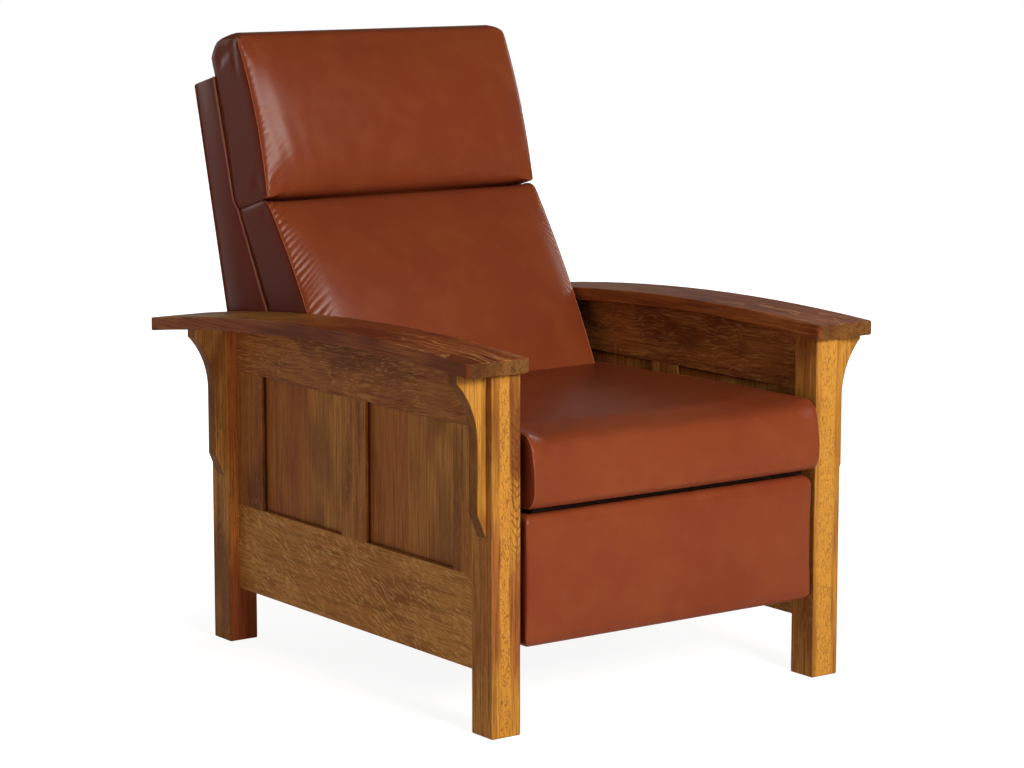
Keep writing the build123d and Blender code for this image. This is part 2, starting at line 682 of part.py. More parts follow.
def lumbar_section(crown):
    """Side outline of the lumbar cushion, which leans back and bulges forwards."""
    foot_rear = beside(lumbar_foot_rear(), waist(), 0, CUSHION_FIT)
    foot_front = lumbar_foot_front()
    high = lumbar_front_high()
    rear = beside(lumbar_foot_rear(), waist(), 1, CUSHION_FIT)
    low_roll = between(high, foot_front, LUMBAR_TOP_ROLL / WAIST_RISE)
    high_roll = between(high, rear, LUMBAR_TOP_ROLL / WAIST_DEPTH)
    bulge = LUMBAR_BULGE + LUMBAR_CROWN * crown
    front = ThreePointArc(foot_front, beside(foot_front, low_roll, 0.5, bulge), low_roll)
    roll = ThreePointArc(low_roll, beside(low_roll, high_roll, 0.5, LUMBAR_TOP_ROLL / 4), high_roll)
    rest = Polyline(high_roll, rear, foot_rear, foot_front)
    return make_face([front, roll, *rest.edges()])


def pillow_section(crown):
    """Side outline of the head pillow, which rests on the lumbar cushion and rises past the shell."""
    low_front = beside(lumbar_front_high(), waist(), 0, CREASE)
    low_rear = beside(waist(), shoulder(), 0, CREASE)
    shoulder_point = beside(shoulder(), shell_top()[0], 0, CUSHION_FIT)
    shell_point = beside(shoulder(), shell_top()[0], 1, CUSHION_FIT)
    front_high = from_hinge(PILLOW_FRONT_RUN, PILLOW_FRONT_RISE)
    top = from_hinge(PILLOW_TOP_RUN, PILLOW_TOP_RISE)
    rear_high = from_hinge(PILLOW_REAR_RUN, PILLOW_REAR_RISE)
    bulge = PILLOW_BULGE + PILLOW_CROWN * crown
    front = ThreePointArc(low_front, beside(low_front, front_high, 0.5, bulge), front_high)
    roll = ThreePointArc(front_high, beside(front_high, top, 0.5, PILLOW_TOP_ROLL), top)
    cap = ThreePointArc(top, beside(top, rear_high, 0.5, PILLOW_TOP_BULGE), rear_high)
    rest = Polyline(rear_high, shell_point, shoulder_point, low_rear, low_front)
    return make_face([front, roll, cap, *rest.edges()])


def back_cushion(section, low, high):
    """Back cushion lofted through its side sections and drawn in between its corners."""
    plan = Plane.XZ * drawn_outline(BACK_HALF, low, high, BACK_DRAW_IN)
    reach = HINGE[0] + SHELL_TOP_RUN + SHELL_TOP_DEPTH
    return crowned(section, BACK_HALF, OVERRUN) & (Pos(0, reach, 0) * extrude(plan, amount=reach))


def lumbar_cushion():
    """Lower back cushion."""
    return back_cushion(lumbar_section, lumbar_foot_rear()[1], lumbar_front_high()[1] + OVERRUN)


def head_pillow():
    """Upper back cushion."""
    return back_cushion(pillow_section, shoulder()[1] - WAIST_SLOPE, HINGE[1] + PILLOW_TOP_RISE + OVERRUN)


# Hinges and links

def plate(shape, eye, x_out):
    """Steel plate with a drilled round eye, whose outer face is at x_out."""
    body = slab(shape + Pos(*eye) * Circle(HINGE_EYE), x_out - PLATE_THICKNESS, x_out)
    return body - cross_cylinder(x_out - PLATE_THICKNESS - OVERRUN, x_out + OVERRUN, eye,
                                 PIN_RADIUS + PIN_CLEARANCE)


def seat_hinge_plate():
    """Right plate that rises from the seat rail to the back hinge."""
    y, z = HINGE
    half = PLATE_FOOT / 2
    points = [(y - half, SEAT_RAIL_LOW + HINGE_EYE), (y + half, SEAT_RAIL_LOW + HINGE_EYE),
              (y + half, DECK_LOW - HINGE_EYE / 3), (y + HINGE_EYE, z), (y - HINGE_EYE, z),
              (y - half, DECK_LOW - HINGE_EYE / 3)]
    return plate(outline(points), HINGE, PLATE_OUT)


def back_plate_outline():
    """Side outline of the plate from the hinge into the back, below its cushion and behind its webbing."""
    y, z = HINGE
    foot = lumbar_foot_rear()
    behind = frame_set_back() + CUSHION_FIT
    reach = between(foot, waist(), PLATE_FOOT * 2 / WAIST_RISE)
    return outline([(y, z - HINGE_EYE), (foot[0] + PLATE_FOOT, z), (reach[0] + PLATE_FOOT, reach[1]),
                    (reach[0] + behind, reach[1]), (foot[0] + behind, foot[1]), (y, z + HINGE_EYE)])


def back_hinge_plate():
    """Right plate from the hinge to the board inside the back."""
    return plate(back_plate_outline(), HINGE, BACK_PLATE_OUT)


def foot_pivot_plate():
    """Right plate on the inside of the seat rail that carries the footrest."""
    y, z = FOOT_PIVOT
    rear = y + PIVOT_PLATE_LENGTH - HINGE_EYE
    high = z + PIVOT_PLATE_RISE
    points = [(y - HINGE_EYE, z), (y + HINGE_EYE, z), (rear, z + HINGE_EYE),
              (rear, high), (y - HINGE_EYE, high)]
    return plate(outline(points), FOOT_PIVOT, PLATE_OUT)


def board_ear():
    """Right plate behind the footrest board that carries its pivot."""
    y, z = BOARD_PIVOT
    face = BOARD_FRONT + BOARD_THICKNESS
    half = BOARD_EAR_WIDTH / 2
    points = [(face, z - half), (y, z - HINGE_EYE), (y, z + HINGE_EYE), (face, z + half)]
    return plate(outline(points), BOARD_PIVOT, EAR_OUT)


def link(start, end, x_out):
    """Flat bar with round ends, drilled at both."""
    length = hypot(end[0] - start[0], end[1] - start[1])
    turn = degrees(atan2(end[1] - start[1], end[0] - start[0]))
    face = Pos(*between(start, end, 0.5)) * Rot(0, 0, turn) * SlotCenterToCenter(length, LINK_WIDTH)
    body = slab(face, x_out - PLATE_THICKNESS, x_out)
    for place in (start, end):
        body -= cross_cylinder(x_out - PLATE_THICKNESS - OVERRUN, x_out + OVERRUN, place,
                               PIN_RADIUS + PIN_CLEARANCE)
    return body


def pin(place, x_out, both_heads=True):
    """Right pivot pin through two layers of plate, headed inside and, where there is room, outside."""
    x_in = x_out - LAYER - PLATE_THICKNESS - HEAD_CLEARANCE
    shank_out = x_out + HEAD_CLEARANCE if both_heads else x_out
    body = cross_cylinder(x_in, shank_out, place, PIN_RADIUS)
    body += cross_cylinder(x_in - PIN_HEAD_HEIGHT, x_in, place, PIN_HEAD_RADIUS)
    if both_heads:
        body += cross_cylinder(shank_out, shank_out + PIN_HEAD_HEIGHT, place, PIN_HEAD_RADIUS)
    return body


def cross_tube():
    """Tube that ties the two swing arms of the footrest together."""
    place = between(FOOT_PIVOT, KNEE, TUBE_PLACE_SHARE)
    half = ARM_LINK_OUT - PLATE_THICKNESS
    tube = cross_cylinder(-half, half, place, TUBE_RADIUS)
    return tube - cross_cylinder(-half - OVERRUN, half + OVERRUN, place, TUBE_RADIUS - TUBE_WALL)


# Footrest

def pad_section(crown):
    """Side outline of the footrest pad: a flat rear and a rounded, crowned front."""
    rear = PAD_THICKNESS - PAD_PROUD
    front = -PAD_PROUD
    bulge = PAD_CROWN * (crown + PAD_END_CROWN_SHARE)
    low_face = (front, PAD_LOW + PAD_ROLL)
    high_face = (front, PAD_HIGH - PAD_ROLL)
    low_edge = (front + PAD_ROLL, PAD_LOW)
    high_edge = (front + PAD_ROLL, PAD_HIGH)
    low_roll = ThreePointArc(low_edge, beside(low_edge, low_face, 0.5, PAD_ROLL / 4), low_face)
    face = ThreePointArc(low_face, beside(low_face, high_face, 0.5, bulge), high_face)
    high_roll = ThreePointArc(high_face, beside(high_face, high_edge, 0.5, PAD_ROLL / 4), high_edge)
    rest = Polyline(high_edge, (rear, PAD_HIGH), (rear, PAD_LOW), low_edge)
    return make_face([low_roll, face, high_roll, *rest.edges()])


def footrest_pad():
    """Padded leather front of the footrest."""
    half = LEG_INNER - PAD_SIDE_GAP
    plan = extrude(Plane.XZ * drawn_outline(half, PAD_LOW, PAD_HIGH, PAD_DRAW_IN), amount=PAD_THICKNESS * 2)
    plan = fillet(plan.edges().filter_by(Axis.Y), PAD_CORNER)
    return crowned(pad_section, half, OVERRUN) & (Pos(0, PAD_THICKNESS, 0) * plan)


def footrest_board():
    """Plywood board behind the footrest pad."""
    half = LEG_INNER - PAD_SIDE_GAP - BOARD_EDGE_INSET
    return block(-half, half, BOARD_FRONT, BOARD_FRONT + BOARD_THICKNESS,
                 PAD_LOW + BOARD_EDGE_INSET, PAD_HIGH - BOARD_EDGE_INSET)


def sided(name, part):
    """A right piece and its mirror image under their own names."""
    return {name + "_right": part, name + "_left": left(part)}


def chair():
    """Every sub-part of the chair by its node name."""
    nodes = {}
    for name, part in side_frame().items():
        nodes.update(sided(name, part))
    nodes["centre_stretcher"] = centre_stretcher()
    nodes["rear_cross_rail"] = rear_cross_rail()
    nodes["slide_channels"] = pair(slide_channel())
    nodes["channel_screws"] = pair(channel_screws(0))
    nodes["slide_bars"] = pair(slide_bar())
    nodes["seat_brackets"] = pair(seat_bracket())
    nodes.update(sided("seat_rail", seat_side_rail()))
    nodes["seat_front_rail"] = seat_cross_rail(SEAT_RAIL_FRONT, SEAT_FRONT_RAIL_HEIGHT)
    nodes["seat_rear_rail"] = seat_cross_rail(SEAT_RAIL_REAR - SEAT_REAR_RAIL_INSET, SEAT_RAIL_HEIGHT)
    nodes["seat_deck"] = seat_deck()
    nodes["seat_cushion"] = seat_cushion()
    nodes["seat_hinge_plates"] = pair(seat_hinge_plate())
    nodes["footrest_pivot_plates"] = pair(foot_pivot_plate())
    nodes["back_hinge_pins"] = pair(pin(HINGE, BACK_PLATE_OUT))
    nodes["footrest_pivot_pins"] = pair(pin(FOOT_PIVOT, PLATE_OUT, both_heads=False))
    nodes["back_shell"] = back_shell()
    nodes.update(sided("back_board", back_board()))
    nodes["back_top_rail"] = back_rail(back_rail_top_gap(), BACK_RAIL_HEIGHT)
    nodes["back_bottom_rail"] = back_rail(SHELL_WALL + BACK_RAIL_END_GAP, BACK_RAIL_HEIGHT)
    nodes["back_webbing"] = back_webbing()
    nodes["back_hinge_plates"] = pair(back_hinge_plate())
    nodes["lumbar_cushion"] = lumbar_cushion()
    nodes["head_pillow"] = head_pillow()
    nodes.update(sided("footrest_arm", link(FOOT_PIVOT, KNEE, ARM_LINK_OUT)))
    nodes["footrest_cross_tube"] = cross_tube()
    nodes["knee_pins"] = pair(pin(KNEE, ARM_LINK_OUT))
    nodes.update(sided("footrest_forelink", link(KNEE, BOARD_PIVOT, FORELINK_OUT)))
    nodes["footboard_pins"] = pair(pin(BOARD_PIVOT, FORELINK_OUT))
    nodes["footrest_board"] = footrest_board()
    nodes["footrest_ears"] = pair(board_ear())
    nodes["footrest_pad"] = footrest_pad()
    return nodes


def write(nodes):
    """Write each sub-part, moved so that the origin is on the floor under the chair's middle."""
    front = -SEAT_NOSE - SEAT_NOSE_CROWN
    rear = shell_top()[1][0]
    os.makedirs("parts", exist_ok=True)
    for name, part in nodes.items():
        export_step(Pos(0, -(front + rear) / 2, 0) * part, f"parts/{name}.step")


write(chair())
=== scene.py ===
"""Looks of a mission reclining armchair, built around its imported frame.

The chair faces -Y, X runs across it and Z is up. Every length is in metres.
"""
from __future__ import annotations

import json
import logging
import math
from dataclasses import dataclass, field
from enum import Enum
from typing import Callable, Sequence

import bmesh
import bpy
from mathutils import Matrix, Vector, bvhtree, kdtree, noise

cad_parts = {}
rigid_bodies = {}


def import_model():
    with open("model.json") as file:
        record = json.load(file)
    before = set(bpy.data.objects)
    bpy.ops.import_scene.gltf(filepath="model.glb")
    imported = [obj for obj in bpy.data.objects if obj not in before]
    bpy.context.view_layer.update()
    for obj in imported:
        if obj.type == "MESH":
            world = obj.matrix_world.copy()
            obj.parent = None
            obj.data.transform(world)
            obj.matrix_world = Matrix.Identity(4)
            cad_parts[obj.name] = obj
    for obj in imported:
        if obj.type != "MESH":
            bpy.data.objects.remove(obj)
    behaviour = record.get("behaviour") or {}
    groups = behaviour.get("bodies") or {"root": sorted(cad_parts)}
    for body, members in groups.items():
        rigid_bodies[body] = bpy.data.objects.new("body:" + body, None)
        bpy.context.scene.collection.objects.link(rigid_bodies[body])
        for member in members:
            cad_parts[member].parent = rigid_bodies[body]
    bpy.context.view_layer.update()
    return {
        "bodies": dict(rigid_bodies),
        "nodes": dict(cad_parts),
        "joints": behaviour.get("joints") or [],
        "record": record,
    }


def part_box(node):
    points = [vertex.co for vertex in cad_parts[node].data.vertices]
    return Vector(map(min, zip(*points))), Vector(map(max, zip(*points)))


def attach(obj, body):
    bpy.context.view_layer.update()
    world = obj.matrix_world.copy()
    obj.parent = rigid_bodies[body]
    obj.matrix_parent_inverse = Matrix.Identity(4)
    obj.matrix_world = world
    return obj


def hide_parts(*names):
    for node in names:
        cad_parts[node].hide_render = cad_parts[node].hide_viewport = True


LOG = logging.getLogger("armchair")
SIDES = ("left", "right")
MM = 0.001

Triple = tuple[float, float, float]
Span = tuple[float, float]
Colour = Triple
Socket = bpy.types.NodeSocket
Value = Socket | float | Triple
Material = bpy.types.Material
World = bpy.types.World
Piece = bpy.types.Object
Nodes = dict[str, Piece]

EVEN: Triple = (1.0, 1.0, 1.0)
WHITE: Colour = (1.0, 1.0, 1.0)
UPWARD: Span = (0.6, 0.8)
AHEAD: Span = (0.7, 0.92)
# SIDEWAYS picks the faces that take the leather's painted side shading.
SIDEWAYS: Span = (0.72, 0.95)


def clay(red: float, green: float, blue: float) -> Colour:
    """Return the linear colour of a shade that is written as screen values from 0 to 255."""
    return tuple(((value / 255 + 0.055) / 1.055) ** 2.4 for value in (red, green, blue))


class Graph:
    """The shader nodes of one material, or of the surroundings."""

    def __init__(self, owner: Material | World) -> None:
        """Start with no nodes.

        Args:
            owner: The material or the surroundings that the nodes belong to.
        """
        owner.use_nodes = True
        self.owner = owner
        self.tree = owner.node_tree
        self.tree.nodes.clear()

    def node(self, kind: str, feeds: dict[str | int, Value] | None = None,
             **settings: object) -> bpy.types.ShaderNode:
        """Add a node.

        Args:
            kind: Blender's name of the node type, after the words that all of them start with.
            feeds: What its inputs are given, by their names or numbers.
            settings: Properties of the node and their values.

        Returns:
            The new node.
        """
        node = self.tree.nodes.new("ShaderNode" + kind)
        for key, value in settings.items():
            setattr(node, key, value)
        for key, value in (feeds or {}).items():
            self.feed(node.inputs[key], value)
        return node

    def feed(self, socket: Socket, value: Value) -> None:
        """Link a socket to another one, or set it to a plain value.

        Args:
            socket: The input to fill.
            value: Where its value comes from.
        """
        if isinstance(value, Socket):
            self.tree.links.new(value, socket)
        elif isinstance(value, tuple) and socket.type == "RGBA":
            socket.default_value = (*value, 1.0)
        else:
            socket.default_value = value

    def place(self) -> Socket:
        """Return the place of a point in the object's own space."""
        return self.node("TexCoord").outputs["Object"]

    def facing(self) -> Socket:
        """Return the direction that the surface faces in the object's own space."""
        return self.node("TexCoord").outputs["Normal"]

    def upward(self) -> Socket:
        """Return 1 where the surface faces up and 0 where it doesn't."""
        return self.step(self.parts(self.facing())[Grain.UPRIGHT.value], *UPWARD)

    def parts(self, vector: Value) -> tuple[Socket, ...]:
        """Return the three parts of a vector."""
        return tuple(self.node("SeparateXYZ", {0: vector}).outputs)

    def scaled(self, vector: Value, scale: Triple, shift: Triple = (0.0, 0.0, 0.0)) -> Socket:
        """Return a vector that is stretched along each axis and then shifted."""
        return self.node("Mapping", {"Vector": vector, "Scale": scale, "Location": shift}).outputs[0]

    def turned(self, vector: Value, angle: float) -> Socket:
        """Return a place turned by an angle about the axis that runs across the chair."""
        return self.node("Mapping", {"Vector": vector, "Rotation": (angle, 0.0, 0.0)}).outputs[0]

    def math(self, operation: str, first: Value, second: Value = 0.0) -> Socket:
        """Return what an operation makes of one or two numbers."""
        return self.node("Math", {0: first, 1: second}, operation=operation).outputs[0]

    def apart(self, first: Value, second: Value) -> Socket:
        """Return how far two numbers are apart."""
        return self.math("ABSOLUTE", self.math("SUBTRACT", first, second))

    def product(self, first: Value, *others: Value) -> Socket:
        """Multiply numbers.

        Args:
            first: The first number.
            others: The other ones.

        Returns:
            Their product.
        """
        for other in others:
            first = self.math("MULTIPLY", first, other)
        return first

    def step(self, value: Value, low: float, high: float) -> Socket:
        """Return a number that rises smoothly from 0 at the low value to 1 at the high one."""
        feeds = {"Value": value, "From Min": low, "From Max": high}
        return self.node("MapRange", feeds, interpolation_type="SMOOTHSTEP").outputs[0]

    def noise(self, vector: Value, scale: float, detail: float = 2.0, rough: float = 0.5,
              distort: float = 0.0) -> Socket:
        """Return smooth noise about a half, with the scale as its bumps to a metre."""
        feeds = {"Vector": vector, "Scale": scale, "Detail": detail, "Roughness": rough}
        return self.node("TexNoise", {**feeds, "Distortion": distort}).outputs[0]

    def mix(self, share: Value, first: Value, second: Value) -> Socket:
        """Blend two colours.

        Args:
            share: How much of the second colour there is.
            first: First colour.
            second: Second colour.

        Returns:
            The blended colour.
        """
        node = self.node("Mix", data_type="RGBA")
        for name, value in (("Factor_Float", share), ("A_Color", first), ("B_Color", second)):
            self.feed(next(item for item in node.inputs if item.identifier == name), value)
        return next(item for item in node.outputs if item.identifier == "Result_Color")

    def stirred(self, vector: Value, scale: float, reach: float) -> Socket:
        """Stir a place with noise, so that what is drawn on it wavers.

        Args:
            vector: The place.
            scale: Bumps to a metre.
            reach: How far a place moves at most.

        Returns:
            The stirred place.
        """
        cloud = self.node("TexNoise", {"Vector": vector, "Scale": scale, "Detail": 1.0}).outputs["Color"]
        feeds = {0: cloud, 1: (reach * 2, reach * 2, reach * 2), 2: vector}
        return self.node("VectorMath", feeds, operation="MULTIPLY_ADD").outputs[0]

    def bump(self, height: Value, distance: float, strength: float, normal: Socket | None = None) -> Socket:
        """Turn a height into a bumped normal.

        Args:
            height: Height from 0 to 1.
            distance: Height of a full step in metres.
            strength: Share of the effect.
            normal: Normal to start from, where bumps are stacked.

        Returns:
            The new normal.
        """
        feeds = {"Height": height, "Distance": distance, "Strength": strength}
        if normal is not None:
            feeds["Normal"] = normal
        return self.node("Bump", feeds).outputs[0]

    def finish(self, colour: Value, rough: Value, normal: Socket, **settings: float) -> Material:
        """Close the material with a principled shader.

        Args:
            colour: Base colour.
            rough: Roughness.
            normal: Bumped normal.
            settings: Other plain values of the shader by the socket's name with underscores.

        Returns:
            The finished material.
        """
        feeds = {"Base Color": colour, "Roughness": rough, "Normal": normal}
        feeds.update({key.replace("_", " "): value for key, value in settings.items()})
        return self.close("OutputMaterial", self.node("BsdfPrincipled", feeds).outputs[0])

    def close(self, kind: str, surface: Socket) -> Material | World:
        """Add the output and return what the nodes belong to."""
        self.node(kind, {"Surface": surface})
        return self.owner


class Grain(Enum):
    """Axis that the fibres of a board run along."""

    ACROSS = 0
    DEEP = 1
    UPRIGHT = 2


@dataclass(frozen=True)
class Mottle:
    """Smooth noise that lays one colour over another where it is strong."""

    scale: float
    low: float
    high: float
    share: float = 1.0
    coarse: float = 1.0
    detail: float = 2.0
    rough: float = 0.5
    distort: float = 0.0
    shift: Triple = (0.0, 0.0, 0.0)

    def noise(self, graph: Graph, place: Value, grain: Grain | None = None) -> Socket:
        """Draw the noise.

        Args:
            graph: The material's nodes.
            place: Place of a point.
            grain: Axis that the noise is drawn out along, if any.

        Returns:
            Its value about a half.
        """
        scale = tuple(self.coarse if axis is grain else 1.0 for axis in Grain)
        near = graph.scaled(place, scale, self.shift)
        return graph.noise(near, self.scale, self.detail, self.rough, self.distort)

    def strength(self, graph: Graph, pattern: Socket) -> Socket:
        """Return the strength of the noise from 0 to 1."""
        return graph.step(pattern, self.low, self.high)

    def over(self, graph: Graph, colour: Value, other: Value, pattern: Socket) -> Socket:
        """Return a colour with another one laid over it where the noise is strong."""
        return graph.mix(graph.product(self.strength(graph, pattern), self.share), colour, other)


@dataclass(frozen=True)
class Stain:
    """Colours of stained oak."""

    body: Colour
    dark: Colour
    light: Colour
    ray: Colour


@dataclass(frozen=True)
class Figure:
    """How the rays of a quartersawn board show, and up to which depth if only on its top."""

    share: float
    across: float
    stretch: float
    tilt: float = 0.0
    stir: float = 0.008
    low: float = 0.57
    high: float = 0.65
    top_until: float | None = None


STILE_STAIN = Stain(clay(178, 112, 50), clay(112, 60, 24), clay(198, 134, 62), clay(208, 150, 80))
RAIL_STAIN = Stain(clay(186, 120, 54), clay(138, 82, 36), clay(198, 134, 64), clay(230, 174, 96))
TOP_STAIN = Stain(clay(158, 92, 44), clay(108, 56, 28), clay(176, 108, 52), clay(206, 142, 78))
PANEL_STAIN = Stain(clay(186, 120, 54), clay(124, 72, 30), clay(200, 138, 66), clay(208, 150, 80))
RED_PANEL_STAIN = Stain(clay(166, 92, 40), clay(122, 62, 26), clay(178, 108, 48), clay(184, 116, 58))
ARM_STAIN = Stain(clay(150, 76, 38), clay(100, 44, 22), clay(168, 96, 48), clay(226, 154, 90))
END_STAIN = Stain(clay(116, 74, 34), clay(78, 42, 20), clay(132, 90, 42), clay(140, 98, 50))
# Painted light: golden lit copies of the wood for the faces of legs and corbels that look ahead to the
# lamps.
FRONT_LIT_STAIN = Stain(clay(164, 100, 48), clay(106, 52, 26), clay(206, 144, 56), clay(216, 156, 70))
FAR_FRONT_LIT_STAIN = Stain(clay(190, 130, 54), clay(142, 86, 38), clay(210, 150, 60), clay(216, 156, 70))
# Painted shade: darker, browner stain for the corbels' sides.
CORBEL_SIDE_SHADE_STAIN = Stain(clay(140, 84, 24), clay(98, 50, 14), clay(158, 100, 34), clay(166, 114, 50))
# Painted light: lighter stains for the fronts of the rear legs and rear corbels, which stand in shade.
REAR_FRONT_LIT_STAIN = Stain(clay(212, 118, 60), clay(140, 62, 34), clay(226, 146, 72), clay(226, 150, 76))
REAR_CORBEL_LIT_STAIN = Stain(clay(236, 170, 92), clay(160, 96, 50), clay(244, 186, 104), clay(246, 190, 110))
# Painted light: golden lit copy for the corbels' front faces.
CORBEL_LIT_STAIN = Stain(clay(194, 132, 54), clay(132, 78, 34), clay(212, 152, 62), clay(218, 160, 70))
# Painted sheen: olive copy of the wood for the rear of the arm tops.
ARM_SHEEN_STAIN = Stain(clay(176, 124, 52), clay(124, 76, 32), clay(192, 142, 62), clay(200, 150, 70))
# Painted shade: dark colour for the forward faces of the stiles and mullion inside the panel recesses.
RECESS_SHADE_STAIN = Stain(clay(88, 40, 22), clay(62, 26, 16), clay(98, 48, 26), clay(100, 50, 28))

FAINT = Figure(0.25, 300.0, 0.2)
FLECKED = Figure(0.6, 430.0, 0.1, math.radians(-22), 0.011, 0.53, 0.62)
LONG_RAYS = Figure(0.5, 420.0, 0.05, math.radians(4), 0.011, 0.53, 0.62)
BROAD_RAYS = Figure(0.5, 46.0, 0.04, math.radians(4), 0.02, 0.035, 0.012, -0.24)

OAK_CLOUD = Mottle(7.0, 0.36, 0.62, coarse=0.5, distort=0.5)
OAK_BLOTCH = Mottle(9.0, 0.5, 0.66, 0.7, 0.45, distort=0.3, shift=(3.1, 2.2, 5.3))
OAK_STREAK = Mottle(95.0, 0.5, 0.7, 0.7, 0.04, 3.0, 0.6, 0.3)
OAK_FIBRE = Mottle(310.0, 0.42, 0.68, 0.7, 0.03, 4.0, 0.68)
OAK_PORE = Mottle(1150.0, 0.6, 0.7, 0.5, 0.05, 1.0)
OAK_CURL = Mottle(250.0, 0.5, 0.64, 0.62, 0.45, 2.0, 0.55, 1.3)
RAY_PATCH = Mottle(16.0, 0.34, 0.56, 0.6, detail=1.0)


@dataclass(frozen=True)
class Arches:
    """Dark pointed arches of plain grain beside a bright band."""

    beside: float = 1.9
    stir_scale: float = 85.0
    stir: float = 5 * MM
    sway_scale: float = 38.0
    sway: float = 30 * MM
    slope: float = 1.5
    gap: float = 8 * MM
    thin: float = 4 * MM
    thick: float = 7.5 * MM
    share: float = 0.75
    foot: Span = (0.24, 0.36)
    head: Span = (0.6, 0.5)
    sides: Span = (15 * MM, 9 * MM)

    def marks(self, graph: Graph, centre: float) -> Socket:
        """Draw the arches.

        Args:
            graph: The material's nodes.
            centre: Place of their points across the face.

        Returns:
            Their strength.
        """
        across, _, height = graph.parts(graph.stirred(graph.place(), self.stir_scale, self.stir))
        away = graph.apart(across, centre)
        sway = graph.product(graph.noise(graph.place(), self.sway_scale), self.sway)
        run = graph.math("SUBTRACT", graph.math("ADD", height, sway), graph.product(away, self.slope))
        line = graph.step(graph.math("PINGPONG", run, self.gap), self.thin, self.thick)
        within = graph.product(graph.step(height, *self.foot), graph.step(height, *self.head))
        return graph.product(line, self.share, graph.step(away, *self.sides), within)


@dataclass(frozen=True)
class Band:
    """Bright band of curly marks along a front face."""

    centre: float
    half: float
    arches: Arches | None = None


@dataclass(frozen=True)
class Join:
    """Glue line of a panel and the stain that the board in front of it took."""

    place: float
    blur: float
    stain: Stain


@dataclass(frozen=True)
class RecessShade:
    """Painted shade in the corners between a panel and its frame."""

    reach: float = 6 * MM
    share: float = 0.6
    colour: Colour = clay(70, 26, 16)

    def over(self, graph: Graph, colour: Value, opening: tuple[Vector, Vector]) -> Socket:
        """Paint shade along the border of a panel.

        Args:
            graph: The material's nodes.
            colour: Colour of the panel.
            opening: Corners of the opening that the panel fills.

        Returns:
            The colour.
        """
        low, high = opening
        parts = graph.parts(graph.place())
        for axis in (Grain.DEEP.value, Grain.UPRIGHT.value):
            near = graph.math("SUBTRACT", parts[axis], low[axis])
            far = graph.math("SUBTRACT", high[axis], parts[axis])
            for gap in (near, far):
                share = graph.product(graph.step(gap, self.reach, 0.0), self.share)
                colour = graph.mix(share, colour, self.colour)
        return colour


